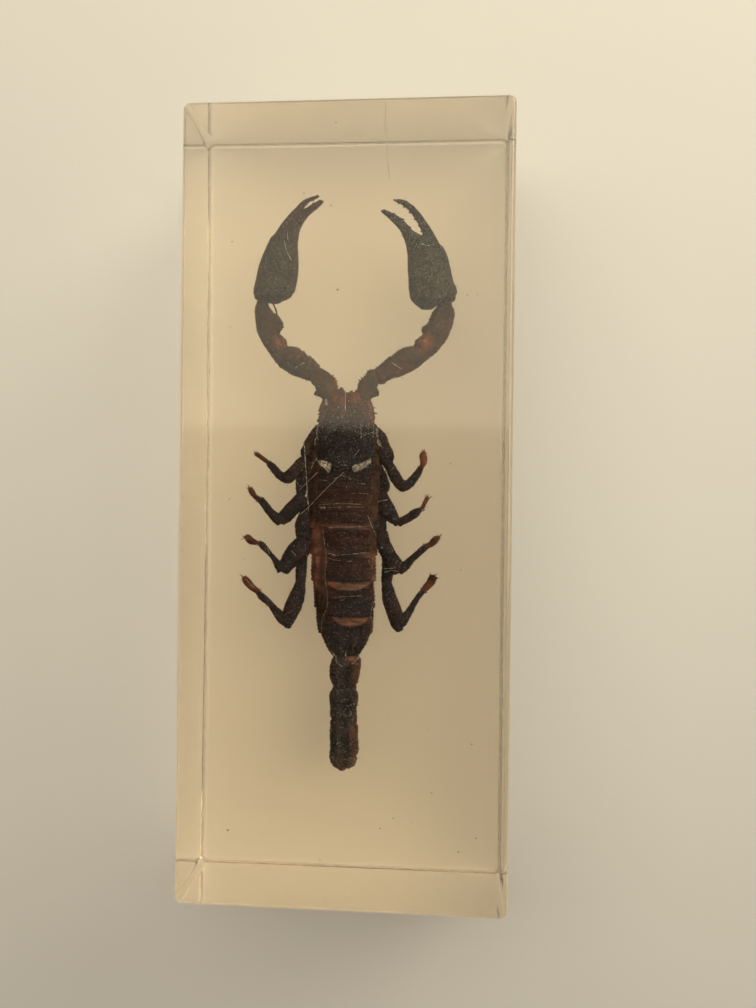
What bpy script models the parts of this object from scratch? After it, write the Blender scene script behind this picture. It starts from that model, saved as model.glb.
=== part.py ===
"""A dried scorpion sealed in a clear resin block, lying on its large face.

The block is parted at the level of the scorpion's middle into a lower and an upper half.
Each half holds one side of the pocket that the scorpion lies in.
Width runs along X, length along Y with the claws at +Y, and the base rests on Z = 0.
"""

import math

import bmesh
import bpy
from mathutils import Vector

MM = 0.001

# Block
BLOCK_WIDTH = 45.0 * MM
BLOCK_LENGTH = 109.0 * MM
BLOCK_HEIGHT = 22.5 * MM
EDGE_ROUND = 0.7 * MM
EDGE_ROUND_STEPS = 2
CIRCULAR_PROFILE = 0.5  # the bevel profile that makes a rounding part of a circle
PARTING_HEIGHT = 12.0 * MM
PARTING_GAP = 0.3 * MM
POCKET_CLEARANCE = 0.4  # millimetres between the scorpion and the resin
SMOOTH_BELOW = math.radians(50)  # edges flatter than this are shaded smooth

# Scorpion. Its places are in millimetres from the block's middle, at the parting height.
BODY_MIDDLE = -0.35  # the body's midline, to the left of the block's middle
BODY_ACROSS = Vector((-1, 0, 0))  # sections that run toward the tail are drawn from this side
BODY_SIDES = 16
LIMB_SIDES = 8
CLAW_SIDES = 10
JOINT_OVERLAP = 0.35  # how far each limb segment reaches into the next one
JOINT_PINCH = 0.72  # how narrow a segment is at its joints, against its widest place
SEGMENT_FULL_FROM = 0.18  # shares of a segment's length between which it has its full width
SEGMENT_FULL_TO = 0.84

# Carapace: distance along Y, half width, height above and depth below the body's midline
CARAPACE = (
    (14.9, 2.9, 1.2, 1.4),
    (14.2, 3.3, 1.7, 1.9),
    (12.0, 3.75, 2.2, 2.2),
    (8.5, 3.95, 2.5, 2.3),
    (5.4, 4.05, 2.6, 2.3),
    (4.6, 3.7, 2.4, 2.1),
)

# Chelicerae, the two short mouth claws that stand out in front of the carapace
CHELICERA_FRONT = 16.9
CHELICERA_BACK = 12.5
CHELICERA_OFFSET = 1.3
CHELICERA_HALF_WIDTH = 1.4
CHELICERA_LIFT = 0.1

# Seven back plates: the distance along Y of each plate's rear edge, and the half width there.
# The first pair is where the plates start, under the carapace.
PLATE_EDGES = (
    (5.4, 4.15),
    (3.0, 4.5),
    (-0.2, 4.75),
    (-3.6, 4.85),
    (-7.4, 4.8),
    (-11.6, 4.5),
    (-16.6, 3.95),
    (-19.4, 3.25),
    (-21.7, 1.9),
)
PLATE_HEIGHT = 2.6
PLATE_DEPTH = 2.3
PLATE_STEP = 0.18  # each plate's rear edge stands this far above the next plate
STEPPED_PLATES = 6  # the seventh plate tapers to the tail with no step
TAIL_END_HEIGHT = 1.6

# Tail: joints as (Y, Z), then each segment's half width and half height. It curls down and under.
TAIL_JOINTS = ((-21.4, 0.0), (-25.6, 0.0), (-30.6, -0.1), (-36.1, -0.2), (-36.5, -6.0), (-28.8, -6.8))
TAIL_HALF_WIDTHS = (2.1, 1.95, 2.0, 1.7, 1.5)
TAIL_HALF_HEIGHTS = (1.8, 1.75, 1.75, 1.55, 1.4)
STING_BULB = ((-29.0, -6.8, 0.7), (-27.8, -6.8, 1.3), (-26.2, -6.7, 1.35), (-24.9, -6.3, 0.8))
STING_POINT = ((-25.4, -6.5, 0.75), (-24.0, -6.2, 0.45), (-23.0, -5.4, 0.28), (-22.4, -4.3, 0.1))
CURL_FRONT = -21.4  # the trench under the tail runs from here to behind the curl
CURL_BACK = -38.7
CURL_HALF_WIDTH = 2.6
CURL_DEPTH = 8.8

# Pincer arms, from the body out. Each segment is a run of (X, Y, half width).
ARM_FLATNESS = 0.8
ARMS = {
    "left": {
        "trochanter": ((-1.9, 15.2, 1.5), (-2.7, 16.0, 1.5), (-4.0, 17.7, 1.2), (-4.6, 18.4, 0.9)),
        "spur": ((-3.6, 16.9, 0.8), (-5.1, 15.8, 0.12)),
        "femur": (
            (-4.3, 18.0, 0.95),
            (-5.7, 19.2, 1.4),
            (-7.0, 20.1, 1.65),
            (-8.5, 21.0, 1.6),
            (-10.1, 21.9, 1.15),
        ),
        "patella": (
            (-9.8, 21.6, 1.0),
            (-10.8, 22.9, 1.35),
            (-11.4, 24.1, 1.5),
            (-11.7, 25.5, 1.75),
            (-12.2, 27.4, 1.4),
            (-12.6, 29.0, 0.85),
        ),
    },
    "right": {
        "trochanter": ((1.0, 15.2, 1.5), (1.9, 16.0, 1.5), (3.3, 17.7, 1.2), (3.9, 18.4, 0.9)),
        "spur": ((2.7, 16.9, 0.8), (4.3, 15.8, 0.12)),
        "femur": (
            (3.6, 17.9, 0.9),
            (5.0, 18.8, 1.15),
            (6.4, 19.6, 1.35),
            (8.0, 20.6, 1.5),
            (9.7, 21.7, 1.15),
        ),
        "patella": (
            (9.4, 21.5, 1.0),
            (11.0, 22.7, 1.5),
            (12.0, 24.0, 1.65),
            (12.4, 25.3, 1.85),
            (13.1, 27.0, 1.45),
            (13.8, 28.8, 0.9),
        ),
    },
}

# Pincers. The hand runs on into its fixed finger, and the moving finger stands beside that one,
# as runs of (X, Y, half width, half height).
HAND_LIFT = 0.2
HANDS = {
    "left": (
        (-10.9, 28.9, 1.1, 0.7),
        (-11.0, 29.5, 2.3, 1.4),
        (-10.9, 30.7, 2.75, 1.85),
        (-10.55, 32.4, 2.7, 2.0),
        (-10.2, 34.2, 2.55, 2.0),
        (-9.85, 36.0, 2.25, 1.8),
        (-9.2, 37.8, 1.8, 1.5),
        (-8.25, 39.6, 1.3, 1.15),
        (-6.8, 41.1, 0.85, 0.8),
        (-5.4, 42.3, 0.55, 0.55),
        (-4.5, 42.9, 0.4, 0.4),
        (-3.85, 43.2, 0.12, 0.15),
    ),
    "right": (
        (10.8, 27.8, 1.1, 0.7),
        (11.2, 28.6, 2.4, 1.4),
        (11.5, 30.1, 3.1, 1.85),
        (11.35, 31.9, 3.0, 2.0),
        (11.0, 33.8, 2.75, 2.0),
        (10.6, 35.6, 2.5, 1.8),
        (9.6, 36.8, 1.6, 1.5),
        (8.5, 38.2, 1.1, 1.1),
        (7.5, 39.3, 0.95, 0.9),
        (6.6, 40.3, 0.85, 0.75),
        (5.5, 41.1, 0.6, 0.5),
        (4.25, 41.7, 0.12, 0.15),
    ),
}
MOVING_FINGERS = {
    "left": (
        (-10.4, 36.6, 1.0, 1.0),
        (-9.0, 39.6, 0.8, 0.9),
        (-7.5, 41.75, 0.55, 0.65),
        (-6.4, 42.75, 0.42, 0.5),
        (-5.3, 43.4, 0.33, 0.35),
        (-4.4, 43.8, 0.1, 0.12),
    ),
    "right": (
        (12.4, 33.8, 1.0, 1.0),
        (12.0, 35.8, 1.1, 1.1),
        (11.3, 37.7, 0.95, 0.95),
        (10.65, 39.1, 0.78, 0.8),
        (10.0, 40.2, 0.62, 0.65),
        (9.2, 41.3, 0.46, 0.5),
        (8.1, 42.3, 0.38, 0.4),
        (7.0, 42.95, 0.28, 0.3),
        (5.95, 43.15, 0.1, 0.12),
    ),
}

# Legs: the heights of their joints are alike, from the coxa's root to the foot's tip, and the
# plan places (X, Y) of coxa root, hip, end of femur, knee, end of tibia and foot tip follow.
LEG_HEIGHTS = (-1.8, -1.2, -0.3, 0.3, 0.0, -0.2)
LEG_PLANS = {
    "left": (
        ((-1.3, 12.6), (-4.9, 11.0), (-6.6, 6.2), (-8.9, 3.5), (-11.5, 5.7), (-13.8, 7.5)),
        ((-1.3, 10.4), (-5.3, 6.6), (-6.5, 1.9), (-9.4, -2.6), (-12.6, 0.4), (-14.6, 2.4)),
        ((-1.3, 8.2), (-5.4, 1.6), (-6.4, -4.1), (-8.9, -9.6), (-12.3, -5.7), (-15.1, -5.0)),
        ((-1.3, 6.0), (-5.5, -2.0), (-6.5, -10.5), (-8.2, -17.1), (-12.8, -12.7), (-15.4, -10.3)),
    ),
    "right": (
        ((0.6, 12.6), (3.8, 10.8), (5.7, 6.2), (7.6, 2.6), (10.3, 5.1), (10.6, 8.0)),
        ((0.6, 10.4), (4.2, 6.2), (5.2, 1.2), (6.9, -2.3), (10.2, -0.9), (11.6, 1.0)),
        ((0.6, 8.2), (4.5, 1.6), (5.5, -4.9), (7.4, -9.1), (11.1, -6.1), (13.2, -4.2)),
        ((0.6, 6.0), (4.6, -2.0), (5.6, -10.6), (7.2, -16.9), (10.9, -12.0), (12.7, -9.5)),
    ),
}
LEG_HALF_WIDTHS = ((0.9, 0.9), (0.85, 1.05), (0.95, 1.12), (0.7, 0.42), (0.42, 0.2))
LEG_FLATNESS = 0.85


def clear_scene():
    for thing in list(bpy.data.objects):
        bpy.data.objects.remove(thing)


def plain_material(name, colour, roughness, transmission=0.0):
    material = bpy.data.materials.new(name)
    material.use_nodes = True
    shader = material.node_tree.nodes["Principled BSDF"]
    shader.inputs["Base Color"].default_value = (*colour, 1.0)
    shader.inputs["Roughness"].default_value = roughness
    shader.inputs["Metallic"].default_value = 0.0
    shader.inputs["Transmission Weight"].default_value = transmission
    return material


def add_object(name, mesh_builder, material=None):
    mesh = bpy.data.meshes.new(name)
    bmesh.ops.recalc_face_normals(mesh_builder, faces=mesh_builder.faces)
    mesh_builder.to_mesh(mesh)
    mesh_builder.free()
    mesh.shade_smooth()
    mesh.set_sharp_from_angle(angle=SMOOTH_BELOW)
    thing = bpy.data.objects.new(name, mesh)
    bpy.context.scene.collection.objects.link(thing)
    if material:
        mesh.materials.append(material)
    return thing


def as_cutter(thing):
    thing.hide_render = True
    thing.display_type = "WIRE"
    return thing


def boolean(thing, other, operation):
    modifier = thing.modifiers.new(f"{operation.lower()} {other.name}", "BOOLEAN")
    modifier.operation = operation
    modifier.solver = "EXACT"
    modifier.use_self = True
    modifier.object = other


class Shape:
    """How the sections of a body are drawn: as the scorpion itself, or as the looser pocket round it."""

    def __init__(self, is_pocket):
        self.clearance = POCKET_CLEARANCE if is_pocket else 0.0
        self.is_pocket = is_pocket

    def sides(self, wanted):
        """The pocket has half as many sides, and never fewer than four."""
        return max(4, wanted // 2) if self.is_pocket else wanted

    def section(self, centre, across, upward, half_width, height, depth, sides):
        """Points round one oval section. The pocket's flat sides lie outside the oval that they clear."""
        turn = math.pi / sides if self.is_pocket else 0.0
        reach = 1.0 / math.cos(math.pi / sides) if self.is_pocket else 1.0
        points = []
        for number in range(sides):
            angle = turn + number * math.tau / sides
            rise = height if math.sin(angle) > 0 else depth
            sideways = (half_width + self.clearance) * reach * math.cos(angle)
            lift = (rise + self.clearance) * reach * math.sin(angle)
            points.append((centre + across * sideways + upward * lift) * MM)
        return points

    def body(self, builder, stations, sides, across=None):
        """A closed body with flat ends, through stations of (centre, half width, height, depth)."""
        count = self.sides(sides)
        centres = [Vector(station[0]) for station in stations]
        rings = []
        for number, (_, half_width, height, depth) in enumerate(stations):
            ahead = centres[min(number + 1, len(centres) - 1)]
            behind = centres[max(number - 1, 0)]
            along = (ahead - behind).normalized()
            side = across or along.cross(Vector((0, 0, 1))).normalized()
            upward = side.cross(along).normalized()
            end_shift = self.clearance * ((number == len(centres) - 1) - (number == 0))
            centre = centres[number] + along * end_shift
            points = self.section(centre, side, upward, half_width, height, depth, count)
            rings.append([builder.verts.new(point) for point in points])
        for first, second in zip(rings, rings[1:]):
            for number in range(count):
                after = (number + 1) % count
                builder.faces.new((first[number], first[after], second[after], second[number]))
        builder.faces.new(list(reversed(rings[0])))
        builder.faces.new(rings[-1])

    def segment(self, builder, start, end, half_widths, flatness, sides, across=None):
        """One limb segment between two joints: pinched at both joints and full between them."""
        start, end = Vector(start), Vector(end)
        along = (end - start).normalized()
        start, end = start - along * JOINT_OVERLAP, end + along * JOINT_OVERLAP
        first, last = half_widths
        places = [(SEGMENT_FULL_FROM, first), (SEGMENT_FULL_TO, last)]
        if self.is_pocket:
            places = [(0.0, first), (1.0, last)]
        else:
            places = [(0.0, first * JOINT_PINCH), *places, (1.0, last * JOINT_PINCH)]
        stations = []
        for share, half_width in places:
            height = half_width * flatness
            stations.append((start.lerp(end, share), half_width, height, height))
        self.body(builder, stations, sides, across)


def trunk(shape):
    """The carapace and the seven back plates behind it."""
    builder = bmesh.new()
    stations = [((BODY_MIDDLE, y, 0), width, height, depth) for y, width, height, depth in CARAPACE]
    shape.body(builder, stations, BODY_SIDES, BODY_ACROSS)
    stations = []
    last = len(PLATE_EDGES) - 1
    for number, (y, half_width) in enumerate(PLATE_EDGES):
        taper = max(0, number - STEPPED_PLATES) / (last - STEPPED_PLATES)
        height = PLATE_HEIGHT + (TAIL_END_HEIGHT - PLATE_HEIGHT) * taper
        depth = PLATE_DEPTH + (TAIL_END_HEIGHT - PLATE_DEPTH) * taper
        stations.append(((BODY_MIDDLE, y, 0), half_width, height, depth))
        if 0 < number <= STEPPED_PLATES and not shape.is_pocket:
            lower = (BODY_MIDDLE, y - PLATE_STEP, 0)
            sizes = (size - PLATE_STEP for size in (half_width, height, depth))
            stations.append((lower, *sizes))
    shape.body(builder, stations, BODY_SIDES, BODY_ACROSS)
    return builder


def chelicerae(shape):
    """The two short mouth claws that stand out in front of the carapace."""
    builder = bmesh.new()
    for side in (-1, 1):
        x = BODY_MIDDLE + side * CHELICERA_OFFSET
        start = (x, CHELICERA_BACK, CHELICERA_LIFT)
        end = (x, CHELICERA_FRONT - JOINT_OVERLAP, CHELICERA_LIFT)
        widths = (CHELICERA_HALF_WIDTH, CHELICERA_HALF_WIDTH)
        shape.segment(builder, start, end, widths, 1.0, LIMB_SIDES)
    return builder


def tail(shape):
    """Five tail segments and the sting, curled down and forward under the third segment."""
    builder = bmesh.new()
    joints = [(BODY_MIDDLE, y, z) for y, z in TAIL_JOINTS]
    for number, (start, end) in enumerate(zip(joints, joints[1:])):
        half_width = TAIL_HALF_WIDTHS[number]
        flatness = TAIL_HALF_HEIGHTS[number] / half_width
        shape.segment(builder, start, end, (half_width, half_width), flatness, CLAW_SIDES, BODY_ACROSS)
    for places in (STING_BULB, STING_POINT):
        stations = [((BODY_MIDDLE, y, z), size, size, size) for y, z, size in places]
        shape.body(builder, stations, LIMB_SIDES, BODY_ACROSS)
    return builder


def arm(shape, side):
    """One pincer arm: trochanter, femur, patella, hand with its fixed finger, and moving finger."""
    builder = bmesh.new()
    for places in ARMS[side].values():
        stations = []
        for x, y, half_width in places:
            height = half_width * ARM_FLATNESS
            stations.append(((x, y, 0), half_width, height, height))
        shape.body(builder, stations, LIMB_SIDES)
    for places in (HANDS[side], MOVING_FINGERS[side]):
        stations = [((x, y, HAND_LIFT), half_width, half, half) for x, y, half_width, half in places]
        shape.body(builder, stations, CLAW_SIDES)
    return builder


def legs(shape, side):
    """Four legs of one side, each with coxa, femur, patella, tibia and foot."""
    builder = bmesh.new()
    for plan in LEG_PLANS[side]:
        joints = [(x, y, z) for (x, y), z in zip(plan, LEG_HEIGHTS)]
        for start, end, half_widths in zip(joints, joints[1:], LEG_HALF_WIDTHS):
            shape.segment(builder, start, end, half_widths, LEG_FLATNESS, LIMB_SIDES)
    return builder


def curl_trench():
    """The open trench below the tail that takes its curled end."""
    builder = bmesh.new()
    bmesh.ops.create_cube(builder, size=1.0)
    size = Vector((2 * CURL_HALF_WIDTH, CURL_FRONT - CURL_BACK, CURL_DEPTH)) * MM
    middle = Vector((BODY_MIDDLE, (CURL_FRONT + CURL_BACK) / 2, -CURL_DEPTH / 2)) * MM
    for corner in builder.verts:
        corner.co = Vector(a * b for a, b in zip(corner.co, size)) + middle
    return builder


def whole_scorpion(name, shape, material=None):
    """All of the scorpion's bodies fused into one, or the pocket that clears them."""
    thing = add_object(name, trunk(shape), material)
    pieces = {
        "chelicerae": chelicerae(shape),
        "tail": tail(shape),
        "left_arm": arm(shape, "left"),
        "right_arm": arm(shape, "right"),
        "left_legs": legs(shape, "left"),
        "right_legs": legs(shape, "right"),
    }
    if shape.is_pocket:
        pieces["curl_trench"] = curl_trench()
    for piece_name, builder in pieces.items():
        piece = as_cutter(add_object(f"{name}_{piece_name}", builder))
        piece.location.z = PARTING_HEIGHT
        boolean(thing, piece, "UNION")
    thing.location.z = PARTING_HEIGHT
    return thing


def block_half(name, bottom, top, outer_z, material):
    """A half of the block with its outer edges rounded; the edges at the parting stay sharp."""
    builder = bmesh.new()
    bmesh.ops.create_cube(builder, size=1.0)
    for corner in builder.verts:
        corner.co.x *= BLOCK_WIDTH
        corner.co.y *= BLOCK_LENGTH
        corner.co.z = top if corner.co.z > 0 else bottom
    rounded = []
    for edge in builder.edges:
        heights = [corner.co.z for corner in edge.verts]
        upright = abs(heights[0] - heights[1]) > EDGE_ROUND
        at_outer_face = all(abs(height - outer_z) < EDGE_ROUND for height in heights)
        if upright or at_outer_face:
            rounded.append(edge)
    bmesh.ops.bevel(
        builder,
        geom=rounded,
        offset=EDGE_ROUND,
        segments=EDGE_ROUND_STEPS,
        profile=CIRCULAR_PROFILE,
        affect="EDGES",
    )
    return add_object(name, builder, material)


def build():
    clear_scene()
    resin = plain_material("resin", (0.86, 0.77, 0.55), 0.05, transmission=1.0)
    shell = plain_material("scorpion_shell", (0.035, 0.024, 0.020), 0.35)

    whole_scorpion("scorpion", Shape(is_pocket=False), shell)
    pocket = as_cutter(whole_scorpion("pocket", Shape(is_pocket=True)))

    gap = PARTING_GAP / 2
    lower = block_half("resin_lower", 0.0, PARTING_HEIGHT - gap, 0.0, resin)
    upper = block_half("resin_upper", PARTING_HEIGHT + gap, BLOCK_HEIGHT, BLOCK_HEIGHT, resin)
    for half in (lower, upper):
        boolean(half, pocket, "DIFFERENCE")


build()
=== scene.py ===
"""The look of a dried scorpion sealed in a clear resin block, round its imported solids."""

import math

import bpy
import numpy as np
from mathutils import Euler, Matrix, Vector


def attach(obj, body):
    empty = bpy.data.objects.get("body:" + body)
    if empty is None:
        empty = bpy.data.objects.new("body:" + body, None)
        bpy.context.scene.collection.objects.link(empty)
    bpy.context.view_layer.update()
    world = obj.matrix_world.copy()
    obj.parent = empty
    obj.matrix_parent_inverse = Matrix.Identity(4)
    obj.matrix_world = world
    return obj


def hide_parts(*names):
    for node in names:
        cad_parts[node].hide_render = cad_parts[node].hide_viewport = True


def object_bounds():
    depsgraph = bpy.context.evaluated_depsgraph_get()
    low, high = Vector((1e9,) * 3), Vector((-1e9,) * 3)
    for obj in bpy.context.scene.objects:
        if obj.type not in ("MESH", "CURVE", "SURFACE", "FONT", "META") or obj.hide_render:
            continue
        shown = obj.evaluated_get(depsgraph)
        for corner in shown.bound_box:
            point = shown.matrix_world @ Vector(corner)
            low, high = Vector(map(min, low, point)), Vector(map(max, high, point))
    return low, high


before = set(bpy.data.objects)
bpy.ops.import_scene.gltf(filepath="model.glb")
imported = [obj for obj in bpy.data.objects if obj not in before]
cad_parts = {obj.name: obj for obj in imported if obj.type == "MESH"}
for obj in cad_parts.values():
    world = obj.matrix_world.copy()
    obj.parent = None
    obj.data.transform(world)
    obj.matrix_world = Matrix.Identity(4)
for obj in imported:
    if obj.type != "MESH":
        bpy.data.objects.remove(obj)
cad_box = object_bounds()

# --- Camera ----------------------------------------------------------------------------------
# A phone held about 12 cm above the table, a little right of the block and looking almost straight down.
# Its place and tilt were fitted to the block's top corners and to the lower edges seen through the resin.

MM = 0.001
PHOTO_SIZE = (756, 1008)
PHOTO_FOCAL = 770  # the focal length in pixels of the photograph
FILM_HEIGHT = 24.0
CAMERA_PLACE = (11.96, 0.25, 124.75)
CAMERA_TILT = (0.016, 4.039, 0.657)


def add_camera():
    camera = bpy.data.objects.new("camera", bpy.data.cameras.new("camera"))
    camera.data.sensor_fit = "VERTICAL"
    camera.data.sensor_height = FILM_HEIGHT
    camera.data.lens = FILM_HEIGHT * PHOTO_FOCAL / PHOTO_SIZE[1]
    camera.data.clip_start = MM
    camera.location = Vector(CAMERA_PLACE) * MM
    camera.rotation_euler = Euler([math.radians(angle) for angle in CAMERA_TILT])
    bpy.context.scene.collection.objects.link(camera)
    bpy.context.scene.camera = camera


add_camera()

# --- Light -----------------------------------------------------------------------------------
# Soft light from a bright room: a wide fill without shadow and a soft side lamp, both from the right, and a
# ceiling panel past the block's far half, which the polished top face mirrors as a veil over the pincers.

ROOM_COLOUR = (1.0, 0.88, 0.72)
ROOM_STRENGTH = 0.03
LIGHTS = {
    "wide_fill": {"place": (480, 120, 470), "aim": (0, 0, 0), "size": (420, 420), "watts": 1.64,
                  "colour": (1.0, 0.9, 0.735), "shadow": False},
    "side_lamp": {"place": (380, 380, 260), "aim": (0, 0, 0), "size": (300, 200), "watts": 0.9,
                  "colour": (1.0, 0.935, 0.68)},
    "ceiling_panel": {"place": (-30, 248, 300), "aim": (-30, 248, 0), "size": (640, 420), "watts": 1.364,
                      "colour": (1.0, 0.894, 0.673)},
}


def add_light(name, place, aim, size, watts, colour, shadow=True):
    light = bpy.data.lights.new(name, "AREA")
    light.shape = "RECTANGLE"
    light.size, light.size_y = (length * MM for length in size)
    light.energy = watts
    light.color = colour
    light.use_shadow = shadow
    lamp = bpy.data.objects.new(name, light)
    lamp.location = Vector(place) * MM
    lamp.rotation_euler = (Vector(aim) - Vector(place)).to_track_quat("-Z", "Y").to_euler()
    bpy.context.scene.collection.objects.link(lamp)


def add_room_light():
    world = bpy.data.worlds.new("room")
    world.use_nodes = True
    background = world.node_tree.nodes["Background"]
    background.inputs["Color"].default_value = (*ROOM_COLOUR, 1.0)
    background.inputs["Strength"].default_value = ROOM_STRENGTH
    bpy.context.scene.world = world
    bpy.context.scene.view_settings.view_transform = "Standard"
    bpy.context.scene.cycles.use_denoising = True


add_room_light()
for light_name, light_values in LIGHTS.items():
    add_light(light_name, **light_values)

# --- Floor -----------------------------------------------------------------------------------
# A plain pale table top that stays out of the way. The block's foot clings to it without a film of air
# between them, so that nothing is mirrored there.


class Wire:
    """A shader socket. Arithmetic on it adds Math nodes."""

    def __init__(self, finish, socket):
        self.finish = finish
        self.socket = socket

    def math(self, operation, *others, clamp=False):
        sockets = dict(enumerate((self, *others)))
        return self.finish.node("Math", {"operation": operation, "use_clamp": clamp}, sockets)

    def __add__(self, other):
        return self.math("ADD", other)

    def __sub__(self, other):
        return self.math("SUBTRACT", other)

    def __mul__(self, other):
        return self.math("MULTIPLY", other)

    def __truediv__(self, other):
        return self.math("DIVIDE", other)

    def __rsub__(self, other):
        return self * -1.0 + other

    __radd__ = __add__
    __rmul__ = __mul__

    def clamp(self):
        return self.math("ADD", 0.0, clamp=True)

    def past(self, start, slope=1.0):
        """From 0 at start up to 1, rising by slope for each unit. A negative slope rises the other way."""
        return (self - start).math("MULTIPLY", slope, clamp=True)

    def power(self, exponent):
        return self.math("POWER", exponent)


class Finish:
    """One material: a Principled shader and the nodes that feed it."""

    def __init__(self, name, **plain):
        self.material = bpy.data.materials.new(name)
        self.material.use_nodes = True
        self.tree = self.material.node_tree
        self.shader = self.tree.nodes["Principled BSDF"]
        self.feed(**plain)

    def plug(self, socket, value):
        if isinstance(value, Wire):
            self.tree.links.new(value.socket, socket)
        elif isinstance(value, tuple) and len(value) == 3 and socket.type == "RGBA":
            socket.default_value = (*value, 1.0)
        else:
            socket.default_value = value

    def feed(self, **values):
        """Sets or links the shader's sockets, which are named with underscores for spaces."""
        for name, value in values.items():
            self.plug(self.shader.inputs[name.replace("_", " ")], value)

    def node(self, kind, settings=None, sockets=None, output=0):
        node = self.tree.nodes.new("ShaderNode" + kind)
        for name, value in (settings or {}).items():
            setattr(node, name, value)
        for name, value in (sockets or {}).items():
            self.plug(node.inputs[name], value)
        return Wire(self, node.outputs[output])

    def place(self):
        return self.node("TexCoord", output=3)

    def along(self, axis):
        """How far the point lies along x, y or z (0, 1 or 2), in millimetres."""
        return self.node("SeparateXYZ", sockets={0: self.place()}, output=axis) * (1 / MM)

    def streaks(self, scales, detail=5.0):
        """Noise drawn out into streaks, with this many per metre along x, y and z."""
        place = self.node("Mapping", sockets={"Vector": self.place(), "Scale": scales})
        return self.noise(1.0, detail=detail, place=place)

    def noise(self, scale, detail=3.0, roughness=0.55, place=None):
        """Soft noise from 0 to 1 at this many lumps per metre."""
        sockets = {"Vector": place or self.place(), "Scale": scale, "Detail": detail, "Roughness": roughness}
        return self.node("TexNoise", sockets=sockets)

    def mix(self, share, first, second):
        """A colour from first to second as share goes from 0 to 1."""
        return self.node("Mix", {"data_type": "RGBA"}, {0: share, 6: first, 7: second}, output=2)

    def near(self, x, y, reach):
        """From 1 at this place on the plan down to 0 at this many millimetres from it."""
        gap = (self.along(0) - x).power(2) + (self.along(1) - y).power(2)
        return (gap.power(0.5) / reach).past(1.0, -1.0)

    def bump(self, height, distance, strength=1.0):
        """Bumps whose highest stands this many millimetres out."""
        sockets = {"Height": height, "Distance": distance * MM, "Strength": strength}
        self.feed(Normal=self.node("Bump", sockets=sockets))


def piece_from(name, verts, faces, finish, smooth=True):
    """An object from points in millimetres and faces given as lists of point numbers."""
    mesh = bpy.data.meshes.new(name)
    mesh.from_pydata((np.asarray(verts) * MM).tolist(), [], faces)
    mesh.materials.append(finish.material)
    if smooth:
        mesh.shade_smooth()
    thing = bpy.data.objects.new(name, mesh)
    bpy.context.scene.collection.objects.link(thing)
    return thing


FLOOR_REACH = 1500
FLOOR_OVERLAP = 0.02  # how far the table top stands into the foot
FLOOR_COLOUR = (0.82, 0.81, 0.8)

corners = [(x, y, FLOOR_OVERLAP) for x, y in ((-1, -1), (1, -1), (1, 1), (-1, 1))]
corners = [(x * FLOOR_REACH, y * FLOOR_REACH, z) for x, y, z in corners]
floor_finish = Finish("table_top", Base_Color=FLOOR_COLOUR, Roughness=0.85)
floor = piece_from("table_top", corners, [(0, 1, 2, 3)], floor_finish, smooth=False)

# --- Resin block -----------------------------------------------------------------------------
# One casting of clear polyester resin, poured round the scorpion in layers, then sawn and polished.
# It has aged slightly yellow. Its edges are softened by the polishing.

BLOCK_LOW, BLOCK_HIGH = (Vector(corner) / MM for corner in cad_box)
CORNER_ROUND = 1.0
TOP_ROUND = 0.7
FOOT_ROUND = 0.55  # the edges that were cut last are polished less round
EDGE_STEPS = 7
RESIN_IOR = 1.55
RESIN_BLUR = 0.07  # the polish is good but not perfect
RESIN_TINT = (0.99, 0.7, 0.12)
RESIN_DENSITY = 12.0


def polished_block(low, high):
    """Points, faces and exact normals of a box whose upright, top and foot edges are rounded differently."""
    quarter = np.linspace(0, np.pi / 2, EDGE_STEPS + 1)
    turns = np.concatenate([quarter + corner * np.pi / 2 for corner in range(4)])
    corner_signs = np.repeat(((1, 1), (-1, 1), (-1, -1), (1, -1)), EDGE_STEPS + 1, axis=0)
    middle, half = (high + low) / 2, (high - low) / 2
    rings = [(FOOT_ROUND, low.z + FOOT_ROUND, -tilt) for tilt in quarter[::-1]]
    rings += [(TOP_ROUND, high.z - TOP_ROUND, tilt) for tilt in quarter]
    points, normals = [], []
    for radius, height, tilt in rings:
        inset = radius * (1 - math.cos(tilt))
        for turn, (sign_x, sign_y) in zip(turns, corner_signs):
            out_x, out_y = math.cos(turn), math.sin(turn)
            points.append((middle.x + sign_x * (half.x - CORNER_ROUND) + out_x * (CORNER_ROUND - inset),
                           middle.y + sign_y * (half.y - CORNER_ROUND) + out_y * (CORNER_ROUND - inset),
                           height + radius * math.sin(tilt)))
            normals.append((out_x * math.cos(tilt), out_y * math.cos(tilt), math.sin(tilt)))
    count = len(turns)
    faces = [[ring * count + spot, ring * count + (spot + 1) % count, (ring + 1) * count + (spot + 1) % count,
              (ring + 1) * count + spot] for ring in range(len(rings) - 1) for spot in range(count)]
    last = (len(rings) - 1) * count
    faces += [list(range(count))[::-1], list(range(last, last + count))]
    return points, faces, normals


resin = Finish("clear_resin", Base_Color=(1.0, 1.0, 1.0), Roughness=RESIN_BLUR, IOR=RESIN_IOR,
               Transmission_Weight=1.0)
tint = resin.node("VolumeAbsorption", sockets={"Color": RESIN_TINT, "Density": RESIN_DENSITY})
resin.tree.links.new(tint.socket, resin.tree.nodes["Material Output"].inputs["Volume"])
block_points, block_faces, block_normals = polished_block(BLOCK_LOW, BLOCK_HIGH)
block = piece_from("resin_block", block_points, block_faces, resin)
block.data.normals_split_custom_set_from_vertices(block_normals)
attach(block, "root")
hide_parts("resin_lower", "resin_upper")

# --- Carapace --------------------------------------------------------------------------------
# The single shield over the head and the leg roots, hard black chitin that tapers forwards. It is strewn with
# coarse grains, has a furrow down the middle, a notched front and the eyes: two on a mound, three a side.

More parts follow.
